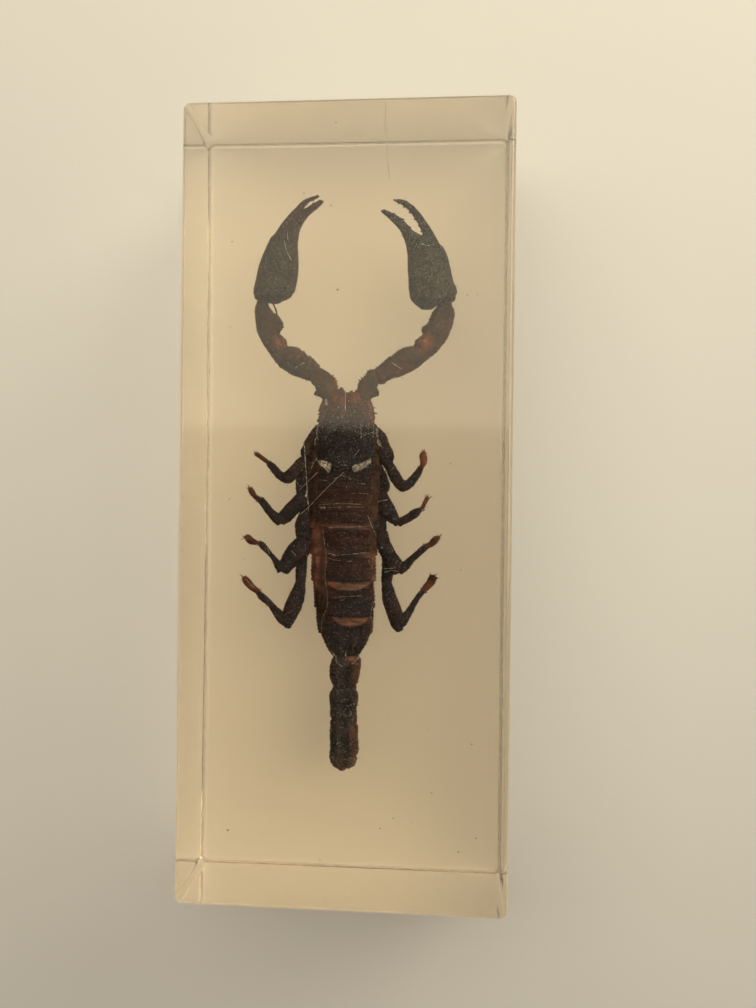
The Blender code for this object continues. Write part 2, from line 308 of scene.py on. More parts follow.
LEVEL = 12.0  # the height of the scorpion's middle above the table
BODY_X = -0.35
DOME_RINGS = 5
DOME_END = 0.46 * np.pi  # domes and beads stop just short of their poles, where a fan closes them
BEAD_END = 0.48 * np.pi
THINNEST = 0.01
THORN_TAPER = 0.94
THORN_CURVE = 1.3
SLANT = (0.31, 0.17, 0.93)  # a way that no thorn points
LOT_FACTORS = (73856093, 19349663, 83492791)
LOT_SALT = 40503
LOT_STIRS = (739982445, 695872825)
LOT_MASK = 0xFFFFFFFF
GRAIN_LEAST, GRAIN_SPREAD = 0.34, 0.3  # the radii of grains, as a share of the room each has
GRAIN_LOT = 7.31


def run(stations, spacing):
    """Rows at this spacing along a smooth curve through the stations, and how far on each of them is."""
    stations = np.array(stations, float)
    at = np.concatenate(([0.0], np.cumsum(np.linalg.norm(np.diff(stations[:, :3], axis=0), axis=1))))
    slopes = np.gradient(stations, at, axis=0)
    wanted = np.linspace(0.0, at[-1], max(2, round(at[-1] / spacing)) + 1)
    index = np.clip(np.searchsorted(at, wanted, side="right") - 1, 0, len(at) - 2)
    gap = (at[index + 1] - at[index])[:, None]
    share = (wanted - at[index])[:, None] / gap
    square, cube = share ** 2, share ** 3
    rows = (2 * cube - 3 * square + 1) * stations[index] + (cube - 2 * square + share) * gap * slopes[index]
    rows += (3 * square - 2 * cube) * stations[index + 1] + (cube - square) * gap * slopes[index + 1]
    return rows, wanted


def unit(vectors):
    return vectors / np.maximum(np.linalg.norm(vectors, axis=-1, keepdims=True), 1e-9)


def tube(stations, spacing=0.1, side=None, boxy=2.0, dome=0.6, relief=None, sides=None):
    """Rings of points round a smooth run of stations: x, y, height, half width, height above, depth below.

    Both ends are domed. relief takes how far on, the angle and the point, and gives how far out it stands."""
    rows, far = run(stations, spacing)
    middle, spans = rows[:, :3], np.maximum(rows[:, 3:6], THINNEST)
    ahead = unit(np.gradient(middle, axis=0))
    if rows.shape[1] > 6:
        across = unit(rows[:, 6:9])
    elif side is None:
        across = unit(np.cross(ahead, (0, 0, 1)))
    else:
        across = np.tile(np.array(side, float), (len(ahead), 1))
    up = unit(np.cross(across, ahead))
    tilt = np.linspace(0, DOME_END, DOME_RINGS + 1)[1:]
    order = np.pad(np.arange(len(rows)), DOME_RINGS, mode="edge")
    shrink = np.concatenate((np.cos(tilt[::-1]), np.ones(len(rows)), np.cos(tilt)))
    push = np.concatenate((-np.sin(tilt[::-1]), np.zeros(len(rows)), np.sin(tilt)))
    push = push * dome * np.minimum(spans[order, 0], spans[order, 1])
    middle = middle[order] + ahead[order] * push[:, None]
    wide, above, below = (spans[order, part] * shrink for part in range(3))
    if sides is None:
        sides = max(12, round(2 * np.pi * np.median(spans[:, :2]) / spacing))
    angle = np.arange(sides) * 2 * np.pi / sides
    flat = np.sign(np.cos(angle)) * np.abs(np.cos(angle)) ** (2 / boxy)
    high = np.sign(np.sin(angle)) * np.abs(np.sin(angle)) ** (2 / boxy)
    reach = np.where(high > 0, above[:, None], below[:, None])
    points = middle[:, None] + across[order][:, None] * (wide[:, None] * flat)[..., None]
    points = points + up[order][:, None] * (reach * high)[..., None]
    if relief is not None:
        out = across[order][:, None] * (flat / wide[:, None])[..., None]
        out = unit(out + up[order][:, None] * (high / np.maximum(reach, THINNEST))[..., None])
        height = relief((far[order] + push)[:, None], angle[None], points) * shrink[:, None]
        points = points + out * height[..., None]
    return points


class Skin:
    """Closed skins gathered into one mesh, and where hairs can root on them."""

    def __init__(self):
        self.points = []
        self.faces = []
        self.count = 0
        self.roots = []
        self.outward = []

    def add(self, points, *groups):
        """Points, and groups of faces that have equally many corners."""
        for faces in groups:
            self.faces += (np.array(faces) + self.count).tolist()
        self.points.append(points)
        self.count += len(points)

    def add_rings(self, rings):
        """A tube of rings, each end closed by a fan."""
        count, sides = rings.shape[:2]
        ring, spot = np.meshgrid(np.arange(count - 1), np.arange(sides), indexing="ij")
        after = (spot + 1) % sides
        quads = np.stack((ring * sides + spot, (ring + 1) * sides + spot, (ring + 1) * sides + after,
                          ring * sides + after), axis=-1).reshape(-1, 4)
        first, last = count * sides, count * sides + 1
        fans = [[first, number, (number + 1) % sides] for number in range(sides)]
        start = (count - 1) * sides
        fans += [[last, start + (number + 1) % sides, start + number] for number in range(sides)]
        points = np.concatenate((rings.reshape(-1, 3), [rings[0].mean(axis=0), rings[-1].mean(axis=0)]))
        self.add(points, quads, fans)

    def add_tube(self, stations, **ways):
        rings = tube(stations, **ways)
        self.add_rings(rings)
        self.roots.append(rings.reshape(-1, 3))
        self.outward.append(unit(rings - rings.mean(axis=1, keepdims=True)).reshape(-1, 3))

    def add_bead(self, place, radius, stretch=(1, 1, 1), sides=12):
        """A small round bead."""
        tilt = np.linspace(-BEAD_END, BEAD_END, sides // 2 + 1)[:, None]
        turn = np.arange(sides)[None] * 2 * np.pi / sides
        ball = np.stack((np.cos(tilt) * np.cos(turn), np.cos(tilt) * np.sin(turn),
                         np.sin(tilt) + 0 * turn), axis=-1)
        self.add_rings(np.array(place) + ball * radius * np.array(stretch))

    def add_thorn(self, root, tip, radius, bend=(0, 0, 0), sides=8, steps=6):
        """A tapered thorn or hair from root to tip, bent sideways halfway along by so many millimetres."""
        root, tip, bend = (np.array(place, float) for place in (root, tip, bend))
        share = np.linspace(0, 1, steps + 1)[:, None]
        middle = root + (tip - root) * share + bend * 4 * share * (1 - share)
        ahead = unit(np.gradient(middle, axis=0))
        across = unit(np.cross(ahead, SLANT))
        up = np.cross(across, ahead)
        turn = np.arange(sides) * 2 * np.pi / sides
        width = radius * (1 - THORN_TAPER * share ** THORN_CURVE)
        ring = across[:, None] * np.cos(turn)[None, :, None] + up[:, None] * np.sin(turn)[None, :, None]
        self.add_rings(middle[:, None] + ring * width[:, None])

    def piece(self, name, finish, slot="scorpion_shell", stands_for=("scorpion",)):
        thing = piece_from(name, np.concatenate(self.points), self.faces, finish)
        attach(thing, "root")
        if stands_for:
            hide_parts(*stands_for)


def draw_lots(cells, salt):
    """Four repeatable numbers from 0 to 1 for each whole-numbered cell."""
    first, second, third = (cells[..., part] * factor for part, factor in enumerate(LOT_FACTORS))
    mixed = (first ^ second ^ third ^ salt * LOT_SALT) & LOT_MASK
    lots = []
    for _ in range(4):
        mixed = ((mixed ^ (mixed >> 15)) * LOT_STIRS[0]) & LOT_MASK
        mixed = ((mixed ^ (mixed >> 12)) * LOT_STIRS[1]) & LOT_MASK
        lots.append((mixed ^ (mixed >> 15)) / LOT_MASK)
    return np.stack(lots, axis=-1)


def grains(points, size, salt, share=1.0):
    """From 0 to 1, the height of round grains about this many millimetres apart, strewn at random."""
    place = points / size
    cell = np.floor(place).astype(np.int64)
    height = np.zeros(points.shape[:-1])
    for step in np.ndindex(3, 3, 3):
        near = cell + np.array(step) - 1
        lots = draw_lots(near, salt)
        radius = GRAIN_LEAST + GRAIN_SPREAD * lots[..., 3]
        reach = 1 - ((place - near - lots[..., :3]) ** 2).sum(axis=-1) / radius ** 2
        height = np.where(lots[..., 0] * GRAIN_LOT % 1.0 < share, np.maximum(height, reach), height)
    return height


def lumps(points, size, salt):
    """Smooth random swellings from -1 to 1, about this many millimetres across."""
    place = points / np.array(size)
    cell = np.floor(place).astype(np.int64)
    rest = place - cell
    rest = rest * rest * (3 - 2 * rest)
    height = np.zeros(points.shape[:-1])
    for step in np.ndindex(2, 2, 2):
        part = np.prod(np.where(np.array(step) == 1, rest, 1 - rest), axis=-1)
        height += part * draw_lots(cell + np.array(step), salt)[..., 0]
    return 2 * height - 1


def ridge(place, where, width):
    """A rounded ridge that is 1 high at where and dies away over this width."""
    return np.exp(-((place - where) / width) ** 2)


CARAPACE = (  # distance along the body, half width, height above, depth below
    (15.1, 2.75, 0.9, 1.2), (14.5, 3.15, 1.5, 1.7), (13.4, 3.5, 1.95, 2.1), (12.0, 3.72, 2.25, 2.2),
    (10.2, 3.85, 2.5, 2.3), (8.5, 3.95, 2.65, 2.3), (6.6, 4.02, 2.68, 2.3), (5.3, 3.98, 2.55, 2.2),
    (4.75, 3.85, 2.3, 2.1),
)
NOTCH_FROM = 12.6
NOTCH_DEPTH = 0.85
EYE_MOUND = (-0.3, 10.3)  # x and y
EYE_GAP = 0.36  # from the middle line to each eye on the mound
EYE_LIFT = 2.92
EYE_RADIUS = 0.24
SIDE_EYES = ((2.72, 14.35), (2.98, 13.95), (3.12, 13.5))  # how far from the middle line, and y
SIDE_EYE_LIFT = 1.0
SIDE_EYE_RADIUS = 0.17
THORN_ROOT_LIFT = 0.5
THORN_TIP_LIFT = 0.45
SIDE_THORNS = (  # root, tip and radius
    (-3.4, 13.2, -4.5, 12.8, 0.42), (-3.4, 12.3, -4.2, 12.0, 0.25), (-3.0, 14.5, -3.8, 14.3, 0.3),
    (2.7, 13.1, 4.1, 13.0, 0.38), (2.8, 13.9, 3.8, 13.8, 0.3), (2.9, 12.2, 3.75, 12.2, 0.22),
)


def carapace_relief(far, angle, points):
    x, y = points[..., 0] - BODY_X, points[..., 1]
    top = np.clip(np.sin(angle) * 3, 0, 1)
    furrow = ridge(x, 0, 0.2) * (0.16 - 0.06 * np.cos(y * 1.3))
    slope = ridge(np.abs(x), 0.9 + 0.42 * (8.2 - y), 0.35) * np.clip((8.8 - y) / 1.5, 0, 1) * 0.12
    mound = ridge(x, 0, 0.75) * ridge(y, EYE_MOUND[1], 0.95) * 0.5
    rim = ridge(np.abs(np.cos(angle)), 0.97, 0.05) * 0.12
    grain = grains(points, 0.46, 3, share=0.7) * 0.22 + grains(points, 0.24, 5) * 0.1
    calm = 1 - 0.75 * ridge(x, 0, 0.3)
    return top * (mound - furrow - slope + grain * calm + 0.08 * lumps(points, (1.1, 1.1, 1.1), 7)) + rim


carapace_rings = tube([(BODY_X, y, LEVEL, *spans) for y, *spans in CARAPACE], spacing=0.11, boxy=2.5,
                      dome=0.25, relief=carapace_relief)
notch = np.clip((carapace_rings[..., 1] - NOTCH_FROM) / 2.4, 0, 1) ** 2
carapace_rings[..., 1] -= notch * NOTCH_DEPTH * ridge(carapace_rings[..., 0], BODY_X, 0.95)
carapace = Skin()
carapace.add_rings(carapace_rings)
for x, y, tip_x, tip_y, radius in SIDE_THORNS:
    carapace.add_thorn((x, y, LEVEL + THORN_ROOT_LIFT), (tip_x, tip_y, LEVEL + THORN_TIP_LIFT), radius)


def chitin_finish(name, colour, glint_colour=(0.31, 0.28, 0.235), share=0.7, gloss=0.1):
    """Dry dull shell strewn with pale specks, painted glints on its grains. colour takes the finish and a
    blotchy tone.
    """
    shell = Finish(name, Specular_IOR_Level=gloss, IOR=1.5)
    tone = shell.noise(560, detail=5.0, roughness=0.65).past(0.3, 2.4)
    speckle = shell.noise(4000, detail=2.0, roughness=0.6)
    patches = shell.noise(330, detail=2.0).past(0.36, 4.0) * 0.65 + 0.35
    # Painted highlights: pale specks over the grains stand in for light caught by them.
    painted_glints = speckle.past(0.57, 9.0) * patches * share
    shell.feed(Base_Color=shell.mix(painted_glints, colour(shell, tone), glint_colour), Roughness=tone * 0.3 + 0.5)
    shell.bump(speckle * 0.6 + tone, 0.03, 0.8)
    return shell


def carapace_colour(shell, tone):
    black = shell.mix(tone, (0.009, 0.008, 0.0105), (0.04, 0.035, 0.04))
    rusty = shell.along(1).past(10.5, 0.25) * (tone * 0.5 + 0.5)
    edges = (shell.along(0) - BODY_X).math("ABSOLUTE").past(2.7, 1.4) * rusty
    return shell.mix(edges, shell.mix(rusty, black, (0.085, 0.035, 0.016)), (0.21, 0.075, 0.05))


chitin = chitin_finish("black_chitin", carapace_colour, share=0.8)
carapace.piece("carapace", chitin)

eyes = Skin()
for hand in (-1, 1):
    eyes.add_bead((EYE_MOUND[0] + hand * EYE_GAP, EYE_MOUND[1], LEVEL + EYE_LIFT), EYE_RADIUS, sides=20)
    for across, along in SIDE_EYES:
        eyes.add_bead((BODY_X + hand * across, along, LEVEL + SIDE_EYE_LIFT), SIDE_EYE_RADIUS, sides=16)
eye_gloss = Finish("eye_lens", Specular_IOR_Level=0.6, IOR=1.6)
eye_tone = eye_gloss.noise(1500)
eye_gloss.feed(Base_Color=eye_gloss.mix(eye_tone, (0.008, 0.006, 0.006), (0.03, 0.02, 0.014)),
               Roughness=eye_tone * 0.1 + 0.1)
eyes.piece("eyes", eye_gloss)

# --- Chelicerae ------------------------------------------------------------------------------
# The two short jaws in front of the head, blunt and wide, of smooth red-brown chitin. Each ends in a small
# toothed pincer. They come out from under the carapace's front edge, between the coxae of the pincer arms.

JAWS = {  # left -1 and right 1: stations of x, y, half width and half height
    -1: ((-1.6, 12.4, 1.0, 1.0), (-1.62, 14.2, 1.14, 1.2), (-1.6, 15.5, 1.16, 1.15),
         (-1.55, 16.2, 1.0, 0.95)),
    1: ((0.75, 12.4, 0.95, 1.0), (0.76, 14.0, 1.02, 1.2), (0.72, 15.1, 1.05, 1.1),
        (0.66, 15.75, 0.95, 0.85)),
}
JAW_TIPS = ((1, 0.62), (-1, 0.5))  # the inner tip and the outer one, and how far each reaches
MOUTH = ((-0.4, 12.8, 0.7), (-0.4, 14.6, 0.75), (-0.4, 15.75, 0.55))  # the lip under and between the jaws
JAW_TEETH = 4
COXA_STRIPS = (  # the first joints of the pincer arms, beside the head: x, y and half width
    ((-3.3, 15.4, 0.5), (-3.6, 14.3, 0.5), (-4.05, 13.3, 0.45)),
    ((2.5, 15.4, 0.5), (2.75, 14.2, 0.55), (3.1, 12.9, 0.55), (3.2, 11.9, 0.45), (3.0, 10.6, 0.4),
     (3.3, 9.0, 0.35)),
)
UNDER_HEAD = -0.35  # the height of the mouth and the coxae over LEVEL


def lying(plan, lift, above=None, below=None):
    """Stations at LEVEL plus lift, from x, y, the half width and, unless it is given, the half height."""
    stations = []
    for x, y, wide, *half in plan:
        high = half[0] if half else above
        stations.append((x, y, LEVEL + lift, wide, high, below or high))
    return stations


def jaw_relief(far, angle, points):
    rim = 0.05 * ridge(points[..., 1], 15.3, 0.12)
    return 0.07 * lumps(points, (0.6, 0.4, 0.6), 11) + rim + 0.05 * grains(points, 0.3, 12)


jaws = Skin()
for hand, plan in JAWS.items():
    jaws.add_tube(lying(plan, 0.1), boxy=2.4, dome=0.35, relief=jaw_relief)
    middle_x, front, *_ = plan[-1]
    for inner, reach in JAW_TIPS:
        root_x = middle_x + hand * inner * 0.45
        tip = [(root_x, front - 0.1, LEVEL + 0.1, 0.42, 0.5, 0.5),
               (root_x - hand * inner * 0.08, front + reach * 0.6, LEVEL + 0.05, 0.28, 0.34, 0.34),
               (root_x - hand * inner * 0.2, front + reach, LEVEL, 0.1, 0.12, 0.12)]
        jaws.add_tube(tip, spacing=0.08, dome=0.3)
        for tooth in range(JAW_TEETH):
            aside = hand * inner * (0.22 - 0.02 * tooth)
            root = np.array((root_x - aside, front + 0.1 + 0.13 * tooth, LEVEL + 0.1))
            jaws.add_thorn(root, root - np.array((hand * inner * (0.14 - 0.02 * tooth), -0.06, 0)), 0.07)
jaws.add_tube(lying(MOUTH, UNDER_HEAD, 0.8))
for plan in COXA_STRIPS:
    jaws.add_tube(lying(plan, UNDER_HEAD, 0.7, 0.9), dome=0.5,
                  relief=lambda far, angle, points: 0.12 * grains(points, 0.4, 13) - 0.05)


def jaw_colour(shell, tone):
    return shell.mix(tone, (0.03, 0.013, 0.009), (0.21, 0.065, 0.035))


jaw_shell = chitin_finish("red_brown_chitin", jaw_colour, glint_colour=(0.34, 0.2, 0.13), share=0.45)
jaws.piece("chelicerae", jaw_shell)

# --- Back plates -----------------------------------------------------------------------------
# Seven overlapping plates of black-brown chitin across the back. Each rear edge is a raised lip with a beaded
# row, over the thinner and paler front band of the next. Two bands show bare where the body stretched.

PLATES = (  # front, rear, middle of the span, half width in front, half width behind, crown height
    (5.0, 3.3, -0.36, 3.75, 3.95, 2.45), (3.5, -0.1, -0.36, 3.9, 3.95, 2.6),
    (0.1, -3.25, -0.1, 3.85, 3.45, 2.62), (-3.05, -7.1, 0.05, 3.4, 3.2, 2.62),
    (-6.9, -10.85, 0.3, 3.2, 3.35, 2.56), (-11.3, -15.8, 0.45, 3.1, 3.4, 2.42),
    (-16.5, -21.2, 0.0, 3.55, 2.1, 2.2),
)
PLATE_STEP_ACROSS = 0.11
PLATE_STEP_ALONG = 0.1
PLATE_CROWDING = 0.35  # how much of the way the columns crowd together at a plate's side edges
PLATE_THICK = 0.32
PLATE_LEAST = 0.25  # the thickness of the edges, as a share of that
PLATE_FALL = 0.78
PLATE_SQUARENESS = 14
PLATE_BOW = 0.35
COARSE_PLATES = 2  # the front plates, whose grains stand out more
FRONT_SINK = 0.2  # how far the front edge ducks under the plate before it, over the first 0.8 mm
SKIRT = 0.07  # the share of the half width over which the side edges thin
FRONT_THINS = 0.35
REAR_THINS = 0.18
LIP = 0.42
PALE_LIPS = ((-0.1, 0.35), (-3.25, 0.95), (-7.1, 1.15))  # rear edges whose lips are pale, and how pale


def plate_skin(skin, front, rear, middle, wide_front, wide_rear, crown, relief, side_up=1,
               fall=PLATE_FALL, dip=0.0):
    """A curved plate with rounded edges and real thickness, laid over the body, or under it with side_up -1.

    Its rear edge dips this far further back in the middle."""
    length = abs(front - rear)
    rows = round(length / PLATE_STEP_ALONG)
    columns = round(2 * wide_front / PLATE_STEP_ACROSS)
    along = np.linspace(0, 1, rows + 1)[:, None]
    evenly = np.linspace(-1, 1, columns + 1)[None]
    across = np.sin(evenly * np.pi / 2) * PLATE_CROWDING + evenly * (1 - PLATE_CROWDING)
    rounding = np.clip(1 - (np.abs(2 * along - 1) ** PLATE_SQUARENESS), 0, 1) ** 0.5
    wide = (wide_front + (wide_rear - wide_front) * along) * (0.9 + 0.1 * rounding)
    bow = PLATE_BOW * np.abs(across) ** 3 * (1 - 2 * along)
    x = middle + across * wide
    y = front + (rear - front) * along - bow * 0.6 - dip * along * (1 - across ** 4)
    skirt = np.clip((1 - np.abs(across)) / SKIRT, 0, 1) ** 0.5
    ends = np.clip(along * (rows * PLATE_STEP_ALONG) / FRONT_THINS, 0, 1) ** 0.5
    ends = ends * np.clip((1 - along) * (rows * PLATE_STEP_ALONG) / REAR_THINS, 0, 1) ** 0.5
    body = PLATE_THICK * (PLATE_LEAST + (1 - PLATE_LEAST) * skirt * ends)
    far, back = along * length, (1 - along) * length
    z = crown - fall * np.abs(across) ** 2.3 * (wide / 3.5) ** 2
    z = z - FRONT_SINK * np.clip(1 - far / 0.8, 0, 1) + 0.1 * ridge(back, 0.15, 0.35)
    points = np.stack((x, y, LEVEL + side_up * z), axis=-1)
    lift = relief(far, back, across, points) * skirt * ends
    top = points + np.array((0, 0, side_up)) * lift[..., None]
    low = points - np.array((0, 0, side_up)) * body[..., None]
    count, width = x.shape
    grid = np.arange(count * width).reshape(count, width)
    quads = np.stack((grid[:-1, :-1], grid[:-1, 1:], grid[1:, 1:], grid[1:, :-1]), axis=-1).reshape(-1, 4)
    under = quads[:, ::-1] + count * width
    edge = np.concatenate((grid[0], grid[1:, -1], grid[-1, -2::-1], grid[-2:0:-1, 0]))
    after = np.roll(edge, -1)
    walls = np.stack((edge, edge + count * width, after + count * width, after), axis=-1)
    faces = np.concatenate((quads, under, walls))
    skin.add(np.concatenate((top.reshape(-1, 3), low.reshape(-1, 3))), faces[:, ::-side_up])


def beaded(far, length, share=0.5):
    """From 1 at the top of each bead of this length to 1 less twice the share between them."""
    return 1 - share + share * np.cos(far * 2 * np.pi / length)


def plate_relief(number):
    def relief(far, back, across, points):
        rough = grains(points, 0.34, 20 + number) * (0.06 + 0.08 * np.clip(1 - back / 1.4, 0, 1))
        coarse = 0.14 if number < COARSE_PLATES else 0.05
        rough = rough + grains(points, 0.5, 40 + number, share=0.6) * coarse
        beads = ridge(back, LIP, 0.13) * 0.1 * beaded(points[..., 0], 0.33, 0.45)
        dents = ridge(np.abs(across), 0.45, 0.16) * ridge(far, 1.3, 0.6) * 0.12
        creases = 0.09 * np.clip(lumps(points, (2.2, 0.22, 2.2), 60 + number), 0, 1)
        keel = ridge(across, 0, 0.03) * 0.05 * np.clip(far, 0, 1)
        if number == len(PLATES) - 1:
            keel = keel + (ridge(np.abs(across), 0.33, 0.04) + ridge(np.abs(across), 0.72, 0.04)) * 0.12
        return rough + beads + keel - dents - creases + 0.1 * lumps(points, (1.2, 0.9, 1.2), 80 + number)
    return relief


plates = Skin()
for number, plate in enumerate(PLATES):
    plate_skin(plates, *plate, plate_relief(number))


def plate_colour(shell, tone):
    x, y = shell.along(0), shell.along(1)
    streaks = shell.streaks((300, 2400, 700), detail=4.0).past(0.25, 2.0)
    brown = shell.mix(streaks, (0.009, 0.004, 0.004), (0.076, 0.036, 0.031))
    black = shell.mix(tone, (0.01, 0.0085, 0.0095), (0.046, 0.035, 0.04))
    front_dark = y.past(1.5, 0.3)
    rear_dark = y.past(-11.6, -1.2) * (x.past(-2.4, 0.3) + y.past(-16.3, -2.0))
    brown = shell.mix(((x - 2.8 + (tone - 0.5) * 1.5) * 1.2).clamp() * streaks, brown, (0.13, 0.08, 0.045))
    for rear, share in PALE_LIPS:
        lip = (1.0 - (y - rear - LIP * 0.4).math("ABSOLUTE") * 2.0).clamp()
        brown = shell.mix(lip * (streaks * 0.7 + 0.3) * share, brown, (0.34, 0.19, 0.135))
    inner = (1.4 - (x - 0.2).math("ABSOLUTE") * 0.45).clamp() * y.past(-2.8, -0.8)
    middles = ((y * (2 * math.pi / 3.8) + 0.5).math("SINE") * 1.5 + 0.3).clamp() * inner * 0.75
    dull = (tone * 0.45 + middles).clamp()
    return shell.mix((front_dark + rear_dark).clamp(), shell.mix(dull, brown, black), black)


plate_shell = chitin_finish("plate_chitin", plate_colour, glint_colour=(0.29, 0.22, 0.19), share=0.5)
plates.piece("back_plates", plate_shell)

# --- Soft sides ------------------------------------------------------------------------------
# The folded leathery skin between the back and belly plates. It dried to red-brown pleats that run along it,
# bulges a little past the plates, and shows as a tan and an orange band where two plates were drawn apart.

SIDES = (  # middle, distance along, half width, height above, depth below
    (-0.45, 13.4, 3.2, 1.0, 1.8), (-0.65, 11.2, 3.9, 1.2, 2.0), (-0.6, 8.6, 4.7, 1.3, 2.1),
    (-0.7, 6.2, 5.1, 1.4, 2.1), (-0.7, 3.6, 5.2, 1.8, 2.15), (-0.62, 0.6, 5.1, 2.1, 2.15),
    (-0.54, -2.4, 4.8, 2.2, 2.15), (-0.54, -5.0, 4.68, 2.25, 2.1), (-0.56, -8.6, 4.56, 2.2, 2.05),
    (-0.38, -13.1, 4.2, 2.1, 1.95), (-0.23, -16.4, 3.98, 1.95, 1.9), (-0.16, -18.6, 3.45, 1.8, 1.7),
    (-0.2, -20.6, 2.3, 1.5, 1.5), (-0.2, -21.4, 1.6, 1.3, 1.3),
)
FOLD_LENGTH = 3.75
BANDS = (  # the two bare bands: front, rear, left end, right end, middle height, dip of the rear edge
    ("tan", -10.62, -11.25, -3.0, 3.5, 2.5, 0.75), ("orange", -15.53, -16.2, -2.0, 3.35, 2.34, 0.8),
)


def side_relief(far, angle, points):
    flank = np.clip(1.25 - np.abs(np.sin(angle)) * 1.35, 0, 1)
    wander = 0.9 * lumps(points, (1.5, 3.0, 1.5), 90) + 0.4 * lumps(points, (0.5, 1.1, 0.5), 91)
    pleats = np.abs(np.sin(angle * 13 + wander)) - 0.5
    gathers = 0.07 * np.sin(far * 2 * np.pi / 0.55 + wander) * flank
    swell = ((-3.3 - points[..., 1]) % FOLD_LENGTH) / FOLD_LENGTH - 0.5
    return flank * (0.22 * pleats + 0.3 * swell) + gathers + 0.05 * lumps(points, (0.3, 0.5, 0.3), 92)


soft = Skin()
soft.add_tube([(x, y, LEVEL, *spans) for x, y, *spans in SIDES], spacing=0.15, boxy=2.2, dome=0.3,
              relief=side_relief)


def pleat_colour(shell, tone):
    y = shell.along(1)
    pleats = shell.streaks((1500, 700, 1500)).past(0.28, 2.2)
    folds = ((y * (2 * math.pi / FOLD_LENGTH) + 1.3).math("SINE") * 1.3 + 1.0).clamp() * 0.65 + 0.35
    pale = shell.mix((shell.along(0) * 0.5).clamp(), (0.09, 0.05, 0.038), (0.11, 0.063, 0.042))
    dark = shell.mix(pleats, (0.01, 0.006, 0.006), pale)
    red = shell.mix(pleats * folds * (tone * 0.4 + 0.6), (0.05, 0.026, 0.024), (0.47, 0.21, 0.15))
    outer = (shell.along(0) * -2.0 - 7.2).clamp() + 0.25 * (shell.along(0) * -1.2 - 2.9).clamp()
    left = outer.clamp() * y.past(-2.0, -0.6) * y.past(-12.6, 0.6)
    right = shell.along(0).past(2.5) * y.past(-6.2, -1.0) * y.past(-11.5, 0.8) * 0.6
    return shell.mix((left + right).clamp(), dark, red)


soft.piece("side_membranes", chitin_finish("soft_skin", pleat_colour, glint_colour=(0.26, 0.16, 0.11), share=0.35))


def band_finish(band):
    def colour(shell, tone):
        streaks = shell.streaks((700, 2600, 900)).past(0.33, 3.0)
        rusty = (shell.along(0) * -1.0).past(0.9, 0.8)
        if band == "tan":
            pale = shell.mix(rusty, (0.22, 0.135, 0.11), (0.3, 0.12, 0.065))
            return shell.mix(streaks, (0.06, 0.032, 0.024), pale)
        return shell.mix(streaks, (0.08, 0.04, 0.034), (0.27, 0.135, 0.095))
    return chitin_finish(band + "_band_skin", colour, glint_colour=(0.42, 0.3, 0.21), share=0.4)


for band, front, rear, left, right, crown, dip in BANDS:
    strip = Skin()
    half = (right - left) / 2
    plate_skin(strip, front, rear, (left + right) / 2, half, half * 0.94, crown, fall=0.6, dip=dip,
               relief=lambda far, back, across, points: 0.08 * lumps(points, (1.4, 0.2, 1), 95))
    strip.piece(band + "_band", band_finish(band))

# --- Belly -----------------------------------------------------------------------------------
# Five smooth dark plates under the body, four of them with a pair of breathing slits. Ahead of them lie the
# combs, the genital lid's two flaps and the small breastbone between the leg roots.

BELLY_PLATES = (  # front, rear, half width in front, half width behind, depth
    (1.6, -2.4, 3.9, 4.1, 2.4), (-2.2, -6.6, 4.1, 4.05, 2.45), (-6.4, -11.0, 4.05, 3.8, 2.4),
    (-10.8, -15.9, 3.8, 3.4, 2.3), (-15.7, -20.9, 3.3, 1.8, 2.1),
)
SLIT_ACROSS = 2.3
BREASTBONE = (  # y, how far under LEVEL, half width and depth below that
    (8.9, 2.35, 0.25, 0.3), (7.9, 2.4, 0.65, 0.35), (6.8, 2.45, 0.8, 0.35), (6.0, 2.4, 0.7, 0.3),
)
LID_FLAP = (  # how far from the middle line, then the same
    (0.15, 5.4, 2.35, 0.6, 0.3), (0.75, 5.2, 2.4, 0.62, 0.32), (1.3, 5.0, 2.3, 0.35, 0.3),
)
COMB_ROOT = (0.75, 3.9, 2.45)  # how far from the middle line, y, and how far under LEVEL
COMB_END = (4.1, 1.7, 1.95)
COMB_WIDTHS = ((0, 0.34), (0.35, 0.36), (0.7, 0.28), (1.0, 0.12))  # the share of the way, and half width
COMB_TEETH = 15


def belly_relief(number):
    def relief(far, back, across, points):
        slits = 0.0
        last = number == len(BELLY_PLATES) - 1
        if not last:
            beside = np.abs(points[..., 0] - BODY_X) - SLIT_ACROSS
            slits = 0.3 * ridge(beside, 0, 0.42) * ridge(back - 1.5 - 0.35 * beside, 0, 0.13)
        fine = grains(points, 0.4, 120 + number) * 0.025
        keels = ridge(np.abs(across), 0.35, 0.04) * 0.14 if last else 0.0
        lip = ridge(back, 0.3, 0.15) * 0.07
        return fine + keels - slits + lip + 0.05 * lumps(points, (1.5, 1.2, 1.5), 130 + number)
    return relief


